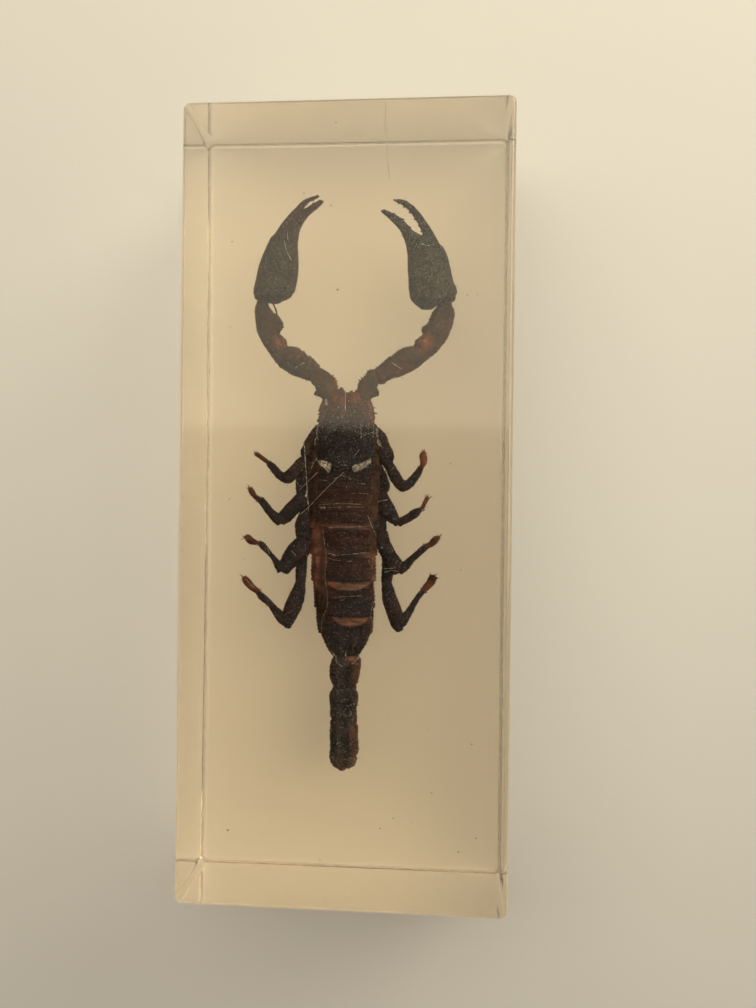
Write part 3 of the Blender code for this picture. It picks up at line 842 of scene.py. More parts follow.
belly = Skin()
for number, (front, rear, wide_front, wide_rear, depth) in enumerate(BELLY_PLATES):
    plate_skin(belly, front, rear, BODY_X, wide_front, wide_rear, depth, belly_relief(number), side_up=-1,
               fall=0.9)
belly.add_tube([(BODY_X, y, LEVEL - z, wide, 0.3, deep) for y, z, wide, deep in BREASTBONE], boxy=3.0,
               dome=0.2)
for hand in (-1, 1):
    belly.add_tube([(BODY_X + hand * x, y, LEVEL - z, wide, 0.3, deep) for x, y, z, wide, deep in LID_FLAP],
                   dome=0.5)
    root, end = (np.array((BODY_X + hand * x, y, LEVEL - z)) for x, y, z in (COMB_ROOT, COMB_END))
    belly.add_tube([(*(root + (end - root) * share), wide, 0.22, 0.2) for share, wide in COMB_WIDTHS],
                   boxy=2.6)
    for tooth in range(COMB_TEETH):
        share = (tooth + 0.8) / (COMB_TEETH + 0.6)
        start = root + (end - root) * share + np.array((-hand * 0.05, -0.18, -0.04))
        reach = 1.0 - 0.5 * share
        tip = start + np.array((-hand * 0.32, -0.95, -0.12)) * reach
        belly.add_tube([(*start, 0.1, 0.09, 0.09), (*((start + tip) / 2), 0.105, 0.09, 0.09),
                        (*tip, 0.085, 0.08, 0.08)], spacing=0.12, sides=10)
belly_shell = Finish("belly_chitin", Specular_IOR_Level=0.3, IOR=1.56)
belly_tone = belly_shell.noise(600, detail=4.0)
belly_shell.feed(Base_Color=belly_shell.mix(belly_tone, (0.035, 0.016, 0.012), (0.085, 0.042, 0.028)),
                 Roughness=belly_tone * 0.25 + 0.35)
belly_shell.bump(belly_tone, 0.02, 0.5)
belly.piece("belly_plates", belly_shell)

# --- Legs ------------------------------------------------------------------------------------
# Eight walking legs of hard black tubes hinged end to end: coxa, hip ring, thigh, shin, and a red-brown foot
# with spines and claws. They dried folded back along the body, with their feet forward and no two alike.

LEG_HEIGHTS = ((-1.0, -0.4), (-0.3, 0.3), (0.2, 0.0), (0.0, -0.2))  # over LEVEL, at both ends of each part
LEGS = {  # for each leg the hip, thigh, shin and foot: stations of x, y and half width; then the claws' tips
    "left": (
        (((-4.7, 10.7, 0.6), (-5.8, 8.1, 0.95), (-6.1, 7.0, 0.85), (-6.1, 6.4, 0.4)),
         ((-6.1, 6.2, 1.05), (-6.9, 5.5, 1.05), (-7.6, 4.9, 0.9), (-8.7, 3.8, 0.85), (-9.2, 3.6, 0.7)),
         ((-9.0, 3.8, 0.8), (-9.6, 4.0, 0.65), (-11.1, 5.5, 0.5), (-11.5, 5.8, 0.4)),
         ((-11.5, 5.9, 0.3), (-13.3, 7.2, 0.35)), ((-13.7, 7.8), (-13.9, 7.4))),
        (((-6.5, 5.1, 0.65), (-6.8, 2.5, 0.85), (-6.8, 1.3, 0.6)),
         ((-6.5, 0.8, 1.2), (-7.9, -0.5, 1.05), (-9.1, -1.8, 1.0), (-9.6, -2.3, 0.8)),
         ((-9.7, -2.3, 0.85), (-10.2, -2.0, 0.75), (-12.6, 0.6, 0.5)),
         ((-12.9, 0.7, 0.4), (-13.2, 0.9, 0.35), (-14.0, 1.9, 0.4), (-14.2, 2.3, 0.25)),
         ((-14.6, 2.9), (-14.9, 2.3))),
        (((-6.2, -0.6, 0.6), (-6.5, -3.2, 1.15), (-6.5, -4.6, 0.95)),
         ((-6.2, -5.4, 1.3), (-7.7, -7.2, 1.4), (-9.2, -9.4, 0.9)),
         ((-9.4, -9.0, 1.0), (-9.9, -8.6, 0.65), (-10.9, -7.4, 0.35), (-12.2, -6.0, 0.45),
          (-12.7, -5.5, 0.35)),
         ((-12.8, -5.6, 0.25), (-13.9, -5.3, 0.5), (-14.4, -4.9, 0.5), (-14.8, -4.7, 0.25)),
         ((-15.4, -4.5), (-15.5, -5.2))),
        (((-6.5, -7.3, 0.7), (-6.7, -9.1, 0.8), (-6.7, -11.1, 0.7)),
         ((-6.7, -11.2, 0.7), (-6.9, -12.2, 0.95), (-8.3, -16.4, 0.95), (-8.5, -17.5, 0.55)),
         ((-8.7, -16.6, 0.9), (-9.4, -16.1, 0.8), (-11.0, -14.3, 0.45), (-12.4, -13.1, 0.5),
          (-12.8, -12.6, 0.4)),
         ((-12.8, -12.5, 0.4), (-13.4, -12.2, 0.45), (-14.5, -11.1, 0.55), (-14.9, -10.6, 0.4)),
         ((-15.6, -10.0), (-15.3, -10.8))),
    ),
    "right": (
        (((3.6, 10.9, 0.45), (4.3, 10.0, 0.8), (4.8, 8.6, 0.95), (5.4, 6.5, 1.1), (5.6, 5.8, 0.7)),
         ((5.7, 5.8, 0.75), (7.4, 3.0, 0.8), (7.9, 2.5, 0.7)),
         ((7.7, 2.8, 0.9), (8.5, 3.0, 0.7), (9.0, 3.5, 0.65), (10.3, 5.3, 0.4)),
         ((10.3, 5.5, 0.3), (10.6, 6.0, 0.45), (10.6, 7.3, 0.45), (10.7, 7.6, 0.25)),
         ((10.7, 8.2), (10.3, 8.0))),
        (((4.6, 4.6, 0.75), (5.0, 2.4, 0.8), (4.8, 1.5, 0.5)),
         ((4.8, 1.3, 0.85), (5.7, -0.8, 1.15), (7.2, -2.5, 0.55)),
         ((7.2, -2.4, 0.6), (8.6, -1.7, 0.6), (9.9, -0.8, 0.55), (10.3, -0.5, 0.3)),
         ((10.5, -0.4, 0.3), (11.2, 1.1, 0.3)), ((11.4, 1.8), (12.0, 1.4), (11.0, 1.7))),
        (((4.4, -0.7, 0.65), (4.5, -1.6, 0.85), (4.7, -4.0, 0.85)),
         ((4.7, -4.0, 1.05), (5.1, -5.5, 1.05), (5.7, -6.7, 1.05), (6.8, -8.6, 1.2), (7.3, -9.1, 0.9)),
         ((7.4, -9.2, 0.65), (8.0, -8.7, 0.7), (8.8, -7.9, 0.55), (11.1, -5.8, 0.45)),
         ((11.1, -5.7, 0.4), (11.7, -5.5, 0.4), (12.4, -4.8, 0.5), (12.9, -4.4, 0.3)),
         ((13.4, -3.8), (13.1, -4.0))),
        (((5.5, -7.3, 0.6), (5.7, -8.6, 0.8), (5.6, -11.0, 0.75)),
         ((5.6, -11.1, 0.75), (6.1, -13.3, 1.05), (7.0, -15.8, 1.05), (7.3, -17.0, 0.85),
          (7.6, -17.6, 0.5)),
         ((7.6, -16.5, 0.9), (8.2, -15.9, 0.7), (10.3, -12.6, 0.4), (10.9, -11.9, 0.4)),
         ((10.9, -11.9, 0.45), (11.9, -10.7, 0.6), (12.2, -10.0, 0.6)), ((12.8, -9.4), (12.3, -9.5))),
    ),
}
FOOT = 3  # the number of the foot among the parts
COXA_ROOTS = (11.6, 9.9, 8.2, 6.5)  # how far along the breastbone each pair of coxae meets
COXA_GAP = 0.95  # from the middle line to where they meet it
COXA = ((1.8, 0.75, 0.6), (1.6, 0.95, 0.7), (1.2, 0.7, 0.65))  # depth below LEVEL, half width, half height
LEG_FLATNESS = 0.85
CLAW_RADIUS = 0.15
SPUR_RADIUS = 0.09
SPINE_RADIUS = 0.045
CLAW_ROOT_DROP = 0.2
CLAW_TIP_DROP = 0.3
SPINE_DROP = 0.1
FOOT_SPINES = 5


def keeled(angle, places, width):
    """Keels that run along a tube at these angles round it."""
    return sum(ridge(np.cos(angle - where), 1.0, width) for where in places)


def leg_relief(salt, rough=1.0):
    def relief(far, angle, points):
        keels = keeled(angle, (0.5, 2.6, 3.9, 5.5), 0.035)
        beads = 0.5 + 0.5 * np.cos(far * 2 * np.pi / 0.36 + lumps(points, (0.9, 0.9, 0.9), salt + 2))
        grain = grains(points, 0.32, salt) * 0.1 + 0.06 * lumps(points, (0.6, 0.6, 0.6), salt + 1)
        return rough * (keels * beads * 0.1 + grain - 0.04)
    return relief


def on_leg(station, share, part):
    """The station's x, y and height, and its half width, height above and depth below."""
    x, y, wide = station
    low, high = LEG_HEIGHTS[part]
    return x, y, LEVEL + low + (high - low) * share, wide, wide * LEG_FLATNESS, wide * LEG_FLATNESS


legs, feet = Skin(), Skin()


def add_claws(toe, claws, hand):
    start = np.array((*toe[:2], LEVEL - CLAW_ROOT_DROP))
    for x, y in claws:
        tip = np.array((x, y, LEVEL - CLAW_TIP_DROP))
        way = unit(tip - start)
        bend = np.cross(way, (0, 0, 1)) * 0.05 * hand + np.array((0, 0, 0.08))
        feet.add_thorn(start - 0.4 * way, tip, CLAW_RADIUS, bend=bend, steps=8)


def add_spines(foot):
    """A spur on each side of the ankle, and a row of spines along each side of the foot."""
    ankle, toe = np.array(foot[0]), np.array(foot[-1])
    ahead = unit(np.array((*(toe - ankle)[:2], 0)))
    beside = np.cross(ahead, (0, 0, 1))
    for turn in (-1, 1):
        root = np.array((*ankle[:2], LEVEL)) + beside * turn * ankle[2] * 0.8 - ahead * 0.25
        feet.add_thorn(root, root + ahead * 0.4 + beside * turn * 0.3, SPUR_RADIUS)
        for spine in range(FOOT_SPINES):
            station = foot[min(1 + spine // 2, len(foot) - 1)]
            root = np.array((*station[:2], LEVEL - SPINE_DROP)) + beside * turn * station[2] * 0.85
            root = root + ahead * 0.17 * (spine % 2)
            feet.add_thorn(root, root + ahead * 0.16 + beside * turn * 0.17, SPINE_RADIUS, sides=5)


for side, plans in LEGS.items():
    hand = -1 if side == "left" else 1
    for number, (*parts, claws) in enumerate(plans):
        hip, foot = parts[0][0], parts[FOOT]
        root = (BODY_X + hand * COXA_GAP, COXA_ROOTS[number])
        middle = ((root[0] + hip[0]) / 2, (root[1] + hip[1]) / 2)
        coxa = [(*place, LEVEL - depth, wide, high, high)
                for place, (depth, wide, high) in zip((root, middle, hip[:2]), COXA)]
        legs.add_tube(coxa, spacing=0.14, relief=leg_relief(190 + number))
        for part, plan in enumerate(parts):
            stations = [on_leg(station, step / (len(plan) - 1), part) for step, station in enumerate(plan)]
            salt = 200 + 20 * number + 3 * part + (100 if hand > 0 else 0)
            skin, rough = (feet, 0.5) if part == FOOT else (legs, 1.0)
            skin.add_tube(stations, spacing=0.11, dome=0.45, boxy=2.4, relief=leg_relief(salt, rough))
        add_claws(foot[-1], claws, hand)
        add_spines(foot)


def leg_colour(shell, tone):
    black = shell.mix(tone, (0.009, 0.0075, 0.009), (0.046, 0.036, 0.042))
    black = shell.mix(shell.near(-5.3, 8.0, 1.6) * 0.6, black, (0.12, 0.07, 0.052))
    return shell.mix(shell.noise(300).past(0.5, 5.0) * 0.5, black, (0.062, 0.032, 0.028))


legs.piece("legs", chitin_finish("leg_chitin", leg_colour, share=0.5))


def foot_colour(shell, tone):
    lighter = shell.near(10.6, 6.8, 1.6) * 0.8 - shell.near(12.0, -10.6, 1.8) * 0.3
    return shell.mix((tone + lighter).past(0.15, 1.3), (0.022, 0.009, 0.008), (0.18, 0.068, 0.045))


feet.piece("feet", chitin_finish("foot_chitin", foot_colour, glint_colour=(0.38, 0.2, 0.12), share=0.5))

# --- Pincer arms -----------------------------------------------------------------------------
# Each arm has a trochanter, a thigh and a swollen patella of hard black chitin. Their edges carry rows of
# grains and small pointed teeth, largest along the inner edge. A spur stands at the back of each trochanter.

ARMS = {  # for each part, from the hand to the body: x and y of the outer edge, then of the inner edge
    "left_patella": (
        (-13.3, 29.2, -12.1, 29.1), (-13.7, 27.9, -11.3, 27.6), (-13.6, 26.8, -10.3, 26.8),
        (-13.4, 25.5, -9.7, 25.5), (-13.2, 24.4, -10.1, 24.6), (-11.1, 21.2, -9.1, 22.6),
    ),
    "left_femur": (
        (-11.4, 21.6, -9.4, 22.6), (-10.3, 20.0, -7.7, 22.3), (-8.2, 18.6, -5.9, 21.1),
        (-5.4, 17.4, -4.3, 19.3), (-5.0, 16.9, -4.3, 18.5),
    ),
    "left_trochanter": (
        (-5.1, 17.7, -4.2, 19.4), (-4.7, 16.4, -3.0, 18.7), (-4.4, 15.8, -2.2, 18.0),
        (-3.5, 14.8, -1.6, 16.4),
    ),
    "left_spur": (
        (-4.3, 16.9, -3.5, 15.3), (-5.1, 15.8, -5.0, 15.6),
    ),
    "right_patella": (
        (12.6, 28.6, 14.3, 28.5), (11.6, 27.0, 14.7, 26.9), (11.1, 25.8, 14.5, 25.7),
        (10.2, 25.0, 14.2, 24.6), (10.4, 24.0, 13.5, 23.3), (9.8, 23.3, 12.6, 22.1),
        (9.1, 22.2, 10.6, 20.6),
    ),
    "right_femur": (
        (9.5, 22.6, 11.2, 20.9), (7.4, 22.1, 9.6, 19.5), (5.6, 20.8, 7.7, 18.5), (4.1, 19.6, 5.5, 17.7),
        (3.7, 19.1, 4.7, 17.2), (3.7, 18.5, 4.3, 17.2),
    ),
    "right_trochanter": (
        (3.4, 19.2, 4.3, 17.8), (2.8, 19.1, 4.1, 17.2), (2.2, 18.3, 3.9, 16.6), (1.6, 17.8, 3.6, 16.1),
        (1.1, 16.2, 2.7, 14.9),
    ),
    "right_spur": (
        (3.7, 16.9, 2.7, 15.3), (4.1, 16.4, 3.5, 15.4), (4.2, 15.6, 4.1, 15.5),
    ),
}
ARM_FLATNESS = 0.8
ARM_TOOTH_STEP = 0.36
ARM_THICKEST = 1.45
WRIST_LIFT = 0.1
WRISTS = (  # x, y, half width and half height
    ((-12.9, 28.6, 0.5, 0.6), (-12.8, 29.8, 0.5, 0.7)), ((13.5, 28.2, 0.7, 0.6), (13.3, 29.5, 0.7, 0.7)),
)


def spanned(pairs, height, deep, deepest):
    """Stations for a tube that reaches from the first to the second edge at each pair of points."""
    stations = []
    for x, y, far_x, far_y in pairs:
        half = math.hypot(far_x - x, far_y - y) / 2
        thick = min(half * deep, deepest)
        across = ((far_x - x) / half, (far_y - y) / half, 0.0)
        stations.append(((x + far_x) / 2, (y + far_y) / 2, height, half, thick, thick, *across))
    return stations


def arm_relief(salt):
    def relief(far, angle, points):
        edges = ridge(np.abs(np.cos(angle)), 1.0, 0.05) * beaded(far, 0.45, 0.4)
        keels = keeled(angle, (0.9, 2.2, 4.1, 5.3), 0.02)
        rough = grains(points, 0.4, salt, share=0.7) * 0.16 + grains(points, 0.22, salt + 1) * 0.06
        return edges * 0.12 + keels * 0.12 + rough + 0.1 * lumps(points, (0.8, 0.8, 0.8), salt + 2) - 0.08
    return relief


def lumpy(height, size, salt):
    """A relief of plain lumps of this height and size."""
    return lambda far, angle, points: height * lumps(points, (size, size, size), salt)


arms = Skin()


def add_arm_teeth(arm, stations, number):
    """Pointed teeth along both edges of an arm's part, the larger ones along its inner edge."""
    rows, _ = run(stations, ARM_TOOTH_STEP)
    inner_hand = 1 if "left" in arm else -1
    for row, place in enumerate(rows[1:-1]):
        lot = draw_lots(np.array((row, number, 3)), 17)
        out = unit(place[6:9]) * inner_hand
        onward = unit(np.cross(out, (0, 0, 1))) * 0.2 * (lot[2] - 0.5)
        size = 0.14 + 0.12 * lot[1] if "patella" in arm else 0.2 + 0.2 * lot[1]
        root = place[:3] + out * (place[3] - 0.1) + np.array((0, 0, (lot[0] - 0.4) * 0.4))
        arms.add_thorn(root, root + out * (size + 0.06) + onward, 0.14 + 0.05 * lot[3])
        root = place[:3] - out * (place[3] - 0.1) + np.array((0, 0, (lot[1] - 0.5) * 0.4))
        arms.add_thorn(root, root - out * (0.14 + 0.1 * lot[2]), 0.13)


for number, (arm, pairs) in enumerate(ARMS.items()):
    stations = spanned(pairs, LEVEL, ARM_FLATNESS, ARM_THICKEST)
    arms.add_tube(stations, spacing=0.12, dome=0.35, boxy=2.4, relief=arm_relief(300 + 5 * number))
    if "spur" not in arm:
        add_arm_teeth(arm, stations, number)
for plan in WRISTS:
    arms.add_tube(lying(plan, WRIST_LIFT), relief=lumpy(0.1, 0.5, 345))


def arm_colour(shell, tone):
    black = shell.mix(tone, (0.018, 0.012, 0.008), (0.085, 0.053, 0.034))
    forearm = shell.along(1).past(23.5, 0.4) * 0.6
    rusty = shell.noise(240, detail=3.0).past(0.47, 4.0) * (0.8 - forearm)
    elbows = shell.near(10.3, 23.0, 2.0) * 1.05 + shell.near(-9.9, 23.2, 1.2)
    bends = elbows + shell.near(-0.4, 17.0, 3.4) * 0.45
    brown = shell.mix(rusty, black, (0.11, 0.036, 0.017))
    return shell.mix((bends * (tone + 0.7)).clamp(), brown, (0.3, 0.1, 0.045))


arms.piece("pincer_arms", chitin_finish("arm_chitin", arm_colour, glint_colour=(0.24, 0.2, 0.15), share=0.5))

# --- Pincers ---------------------------------------------------------------------------------
# The two big hands of black chitin, covered in a fine net of ridges, with low keels and a rim on each edge.
# Each hand runs on into its fixed finger, and the moving finger hinges beside it. Both have rows of teeth.

HAND_LEVEL = LEVEL + 0.2
HANDS = {  # from the wrist to the tip: x and y of the left edge, then of the right edge
    "left": (
        (-12.1, 29.0, -10.0, 28.9), (-13.3, 29.5, -8.9, 29.4), (-13.8, 30.2, -8.3, 30.1),
        (-13.6, 31.4, -7.9, 31.2), (-12.2, 36.3, -7.6, 36.3), (-11.5, 37.7, -7.6, 37.7),
        (-10.4, 38.7, -7.4, 38.9), (-8.2, 40.8, -6.2, 40.9), (-4.5, 43.3, -3.9, 43.0),
    ),
    "right": (
        (10.0, 27.9, 11.9, 28.0), (8.9, 28.8, 13.1, 28.7), (8.5, 30.1, 14.9, 29.8), (8.3, 31.9, 14.4, 31.7),
        (7.8, 37.0, 12.3, 37.0), (6.7, 39.2, 9.0, 38.6), (5.3, 40.6, 6.9, 40.7), (4.2, 41.6, 4.7, 41.8),
    ),
}
MOVING_FINGERS = {
    "left": (
        (-12.2, 36.2, -10.2, 35.9), (-11.5, 38.0, -9.6, 37.6), (-10.9, 38.6, -9.0, 38.2),
        (-10.1, 39.8, -8.5, 39.1), (-7.8, 42.4, -6.9, 41.8), (-6.8, 43.3, -6.3, 42.7),
        (-4.8, 44.0, -4.6, 43.6),
    ),
    "right": (
        (11.0, 34.2, 13.8, 34.0), (10.5, 36.4, 13.2, 36.1), (10.1, 37.5, 12.5, 37.0),
        (10.1, 38.5, 11.8, 38.3), (9.7, 39.3, 11.0, 39.6), (6.7, 42.7, 7.0, 43.2), (6.0, 43.0, 6.0, 43.2),
    ),
}
HAND_DEPTH = (0.84, 2.0)  # the thickness as a share of the width, and the most that it comes to
FINGER_DEPTH = (1.0, 1.15)
FINGER_LIFT = 0.12  # how much higher than the hand the moving finger lies
KNOB_DROP = 0.1
HINGE_KNOBS = ((-13.2, 29.75, 0.62), (14.25, 29.35, 0.66))  # x, y and radius
TEETH_FROM = {"left": 41.6, "right": 37.9}  # the y past which the edges bear teeth
TOOTH_STEP = 0.3
BIG_TOOTH = 1.8  # how much larger than the rest every fourth tooth is


def hand_relief(salt):
    def relief(far, angle, points):
        net = 1 - np.clip(grains(points, 0.5, salt) * 1.6, 0, 1)
        palm = np.clip(1.5 - far / 9.0, 0, 1)
        keels = keeled(angle, (0.75, 1.55, 2.35, 4.1, 5.2), 0.012)
        rim = ridge(np.abs(np.cos(angle)), 1.0, 0.03)
        fine = grains(points, 0.24, salt + 1) * 0.06
        swell = 0.05 * lumps(points, (1, 1.4, 1), salt + 2)
        return keels * 0.14 + rim * 0.06 + net * palm * 0.11 + fine + swell - 0.06
    return relief


def finger_relief(far, angle, points):
    back = 0.05 * ridge(np.sin(angle), 0.8, 0.15)
    return 0.07 * grains(points, 0.3, 440) + back + 0.04 * lumps(points, (0.8, 0.8, 0.8), 441) - 0.05


def add_teeth(skin, stations, from_y, toward, salt):
    """A row of blunt teeth along the edge of a finger that faces its neighbour."""
    rows, _ = run(stations, TOOTH_STEP)
    for row, place in enumerate(rows[:-1]):
        if place[1] < from_y:
            continue
        lot = draw_lots(np.array((row, salt, 5)), 23)
        big = BIG_TOOTH if row % 4 == 0 else 1.0
        out = unit(place[6:9]) * toward
        root = place[:3] + out * (place[3] - 0.12)
        skin.add_thorn(root, root + out * (0.16 + 0.08 * lot[0]) * big, (0.1 + 0.03 * lot[1]) * big)


hands, fingers = Skin(), Skin()
for number, (side, pairs) in enumerate(HANDS.items()):
    outward = -1 if side == "left" else 1
    stations = spanned(pairs, HAND_LEVEL, *HAND_DEPTH)
    hands.add_tube(stations, spacing=0.12, dome=0.35, boxy=2.3, relief=hand_relief(400 + 5 * number))
    add_teeth(hands, stations, TEETH_FROM[side], outward, 31 + number)
    knob_x, knob_y, knob = HINGE_KNOBS[number]
    hands.add_bead((knob_x, knob_y, HAND_LEVEL - KNOB_DROP), knob, sides=24)
    stations = spanned(MOVING_FINGERS[side], HAND_LEVEL + FINGER_LIFT, *FINGER_DEPTH)
    fingers.add_tube(stations, spacing=0.09, dome=0.5, relief=finger_relief)
    add_teeth(fingers, stations, TEETH_FROM[side], -outward, 41 + number)


def hand_colour(shell, tone):
    net = shell.node("TexVoronoi", {"feature": "DISTANCE_TO_EDGE"}, {"Vector": shell.place(), "Scale": 2100})
    lines = net.past(0.12, -9.0) * 0.5
    black = shell.mix(tone, (0.007, 0.006, 0.004), (0.06, 0.048, 0.034))
    brown = shell.mix(tone, (0.018, 0.009, 0.008), (0.075, 0.034, 0.028))
    toward_tips = shell.along(1).past(36.5, 0.2) * (shell.along(0) * -1.0).clamp()
    # Painted shade: the right hand's finger end is painted nearly black where the polished top mirrors less
    # of the room over it, and strewn with pale specks as painted glints.
    right_finger_shade = shell.along(1).past(35.4, 1.2) * shell.along(0).clamp()
    hand = shell.mix(right_finger_shade, shell.mix(lines, black, (0.11, 0.1, 0.08)), (0.008, 0.007, 0.008))
    strewn_glints = shell.noise(5200, detail=2.0).past(0.57, 14.0) * right_finger_shade * 0.6
    return shell.mix(strewn_glints, shell.mix(toward_tips, hand, brown), (0.42, 0.39, 0.33))


hand_shell = chitin_finish("hand_chitin", hand_colour)
hands.piece("hands", hand_shell)
fingers.piece("moving_fingers", hand_shell)

# --- Tail ------------------------------------------------------------------------------------
# Five keeled segments and the sting. The tail lies straight for three, black with red-brown flanks and a
# furrow along the back, and folds under itself past the third, so the last two and the sting lie beneath.

STRAIGHT_SEGMENTS = (  # along each segment: x and y of the right edge, then of the left edge
    ((1.6, -21.1, -1.6, -21.3), (1.9, -21.6, -2.0, -21.9), (1.9, -24.2, -2.3, -23.9),
     (1.6, -25.3, -2.1, -25.0), (1.1, -25.9, -1.8, -25.8)),
    ((1.1, -25.9, -1.9, -26.0), (1.5, -26.5, -2.2, -26.6), (1.6, -28.8, -2.2, -29.0),
     (1.5, -29.8, -2.2, -30.0), (1.0, -30.3, -2.0, -30.4)),
    ((1.1, -30.5, -2.1, -30.6), (1.5, -30.9, -2.2, -31.3), (1.8, -33.0, -2.2, -33.0),
     (1.9, -34.8, -2.2, -34.8), (1.8, -35.2, -2.2, -35.2), (1.4, -35.5, -2.2, -35.6),
     (1.3, -36.4, -2.0, -36.5), (0.9, -37.0, -1.5, -37.0)),
)
TAIL_DEPTH = (0.92, 1.75)
FOLDED_JOINTS = ((-36.1, -0.2), (-36.5, -6.0), (-28.8, -6.8))  # y and the height over LEVEL
FOLDED_HALF_WIDTHS = (1.7, 1.5)
FOLDED_HALF_HEIGHTS = (1.55, 1.4)
FOLDED_PROFILE = (  # the share of the way along, then the width there as a share of the widest
    (0.03, 0.75), (0.12, 0.93), (0.5, 1.0), (0.85, 0.98), (0.965, 0.82),
)
KEEL_ANGLES = (0.62, 1.22, 1.92, 2.52, 3.6, 4.3, 5.12, 5.82)
TAIL_END = (-0.45, -37.5)
# The sting's bulb and its point: y, the height over LEVEL and the radius.
STING_BULB = ((-29.0, -6.8, 0.7), (-27.8, -6.8, 1.3), (-26.2, -6.7, 1.35), (-24.9, -6.3, 0.8))
STING_POINT = ((-25.4, -6.5, 0.75), (-24.0, -6.2, 0.45), (-23.0, -5.4, 0.28), (-22.4, -4.3, 0.1))
ACROSS_TAIL = (-1, 0, 0)


def tail_relief(salt):
    def relief(far, angle, points):
        beads = 0.55 + 0.45 * np.cos(far * 2 * np.pi / 0.42 + lumps(points, (0.9, 0.9, 0.9), salt + 3))
        keels = sum(ridge(angle, where, 0.085) for where in KEEL_ANGLES) * beads
        furrow = ridge(angle, np.pi / 2, 0.3) * 0.2
        rough = grains(points, 0.36, salt, share=0.7) * 0.13 + grains(points, 0.2, salt + 1) * 0.05
        return keels * 0.17 - furrow + rough + 0.1 * lumps(points, (0.7, 0.7, 0.7), salt + 2) - 0.06
    return relief


tail = Skin()
for number, pairs in enumerate(STRAIGHT_SEGMENTS):
    tail.add_tube(spanned(pairs, LEVEL, *TAIL_DEPTH), spacing=0.11, dome=0.22, boxy=2.7,
                  relief=tail_relief(500 + 5 * number))
for number, (wide, high) in enumerate(zip(FOLDED_HALF_WIDTHS, FOLDED_HALF_HEIGHTS)):
    start, stop = (np.array((BODY_X, y, LEVEL + z)) for y, z in FOLDED_JOINTS[number:number + 2])
    stations = [(*(start + (stop - start) * share), wide * times, high * times, high * times)
                for share, times in FOLDED_PROFILE]
    tail.add_tube(stations, spacing=0.12, side=ACROSS_TAIL, dome=0.3, boxy=2.7,
                  relief=tail_relief(520 + 5 * number))


def tail_colour(shell, tone):
    x, y = shell.along(0), shell.along(1)
    green_black = shell.mix(tone, (0.013, 0.012, 0.012), (0.076, 0.066, 0.067))
    red_brown = shell.mix(tone, (0.024, 0.012, 0.01), (0.14, 0.07, 0.05))
    widening = y.past(-29.5, -0.5) * 0.7 + y.past(-26.2, 0.8)
    right = (x + tone * 0.9 + widening).past(1.75, 1.5)
    left = (x + tone * 0.7).past(-1.45, -1.6) * 0.8
    end = y.past(-34.6, -0.45) * (tone * 0.5 + 0.45)
    return shell.mix(end, shell.mix((right + left).clamp(), green_black, red_brown), (0.13, 0.09, 0.066))


tail.piece("tail_segments", chitin_finish("tail_chitin", tail_colour, glint_colour=(0.34, 0.32, 0.28), share=0.7))


def sting_run(plan):
    return [(BODY_X, y, LEVEL + z, radius, radius, radius) for y, z, radius in plan]


def bulb_relief(far, angle, points):
    return grains(points, 0.4, 560) * 0.08 + 0.05 * lumps(points, (0.7, 0.7, 0.7), 561)


sting = Skin()
sting.add_tube(sting_run(STING_BULB), side=ACROSS_TAIL, relief=bulb_relief)
sting.add_tube(sting_run(STING_POINT), spacing=0.08, side=ACROSS_TAIL, dome=0.9)
sting.piece("sting", jaw_shell)

# --- Bare joints -----------------------------------------------------------------------------
# Soft hinge skin where the hard parts meet: orange-red at the pincer arms' elbows, dark red between the tail
# segments and at the tail's root and folded end. It shrank as it dried, to a thread across the left wrist.

ELBOWS = (  # the skin's stations across the inner bend: x, y, half width, half height
    ((-9.3, 22.4, 0.35, 0.6), (-9.6, 23.0, 0.62, 0.8), (-10.3, 23.9, 0.4, 0.6)),
    ((9.3, 22.0, 0.5, 0.7), (10.0, 22.6, 0.9, 0.9), (11.2, 23.9, 0.6, 0.7)),
)
ELBOW_LIFT = 0.25
RED_LOBE = ((0.2, -21.4, 0.4), (0.9, -21.6, 0.5), (1.4, -21.6, 0.35))  # the bulge at the tail's root
LOBE_LIFT = 1.3
TAIL_RINGS = ((-21.3, 0.0, 1.35), (-25.8, -0.3, 1.45), (-30.5, -0.3, 1.5))  # y, x and radius
WRIST_THREAD = ((-11.9, 29.5), (-11.3, 28.95), (-10.85, 28.2), (-10.55, 27.4), (-10.35, 26.6))
THREAD_RADIUS = 0.12
THREAD_LIFT = 0.6


def ring_pleats(far, angle, points):
    return 0.06 * np.sin(far * 2 * np.pi / 0.28 + np.cos(3 * angle))


joint_skin = Skin()
for plan in ELBOWS:
    joint_skin.add_tube(lying(plan, ELBOW_LIFT), relief=lumpy(0.18, 0.4, 580))
for y, x, radius in TAIL_RINGS:
    stations = [(x, y + along, LEVEL, radius, radius * 0.7, radius) for along in (0.7, 0.0, -0.7)]
    joint_skin.add_tube(stations, side=ACROSS_TAIL, dome=0.3, relief=ring_pleats)
joint_skin.add_tube([(BODY_X, -36.1, LEVEL - 0.4, 1.0, 1.0, 1.0), (*TAIL_END, LEVEL - 0.6, 0.6, 0.7, 0.7)],
                    side=ACROSS_TAIL, relief=lumpy(0.1, 0.5, 581))
joint_skin.add_tube(lying(RED_LOBE, LOBE_LIFT, 0.5), relief=lumpy(0.12, 0.4, 582))
thread = [(*place, THREAD_RADIUS, THREAD_RADIUS) for place in WRIST_THREAD]
joint_skin.add_tube(lying(thread, THREAD_LIFT), sides=10, relief=lumpy(0.05, 0.3, 583))


def hinge_colour(shell, tone):
    orange = shell.mix(tone.past(0.15, 1.3), (0.04, 0.016, 0.011), (0.22, 0.08, 0.045))
    dark_red = shell.mix(tone, (0.04, 0.019, 0.017), (0.34, 0.18, 0.145))
    return shell.mix((shell.along(1) * 0.2).clamp(), dark_red, orange)


joint_skin.piece("joint_skins", chitin_finish("hinge_skin", hinge_colour, glint_colour=(0.4, 0.22, 0.12), share=0.3))

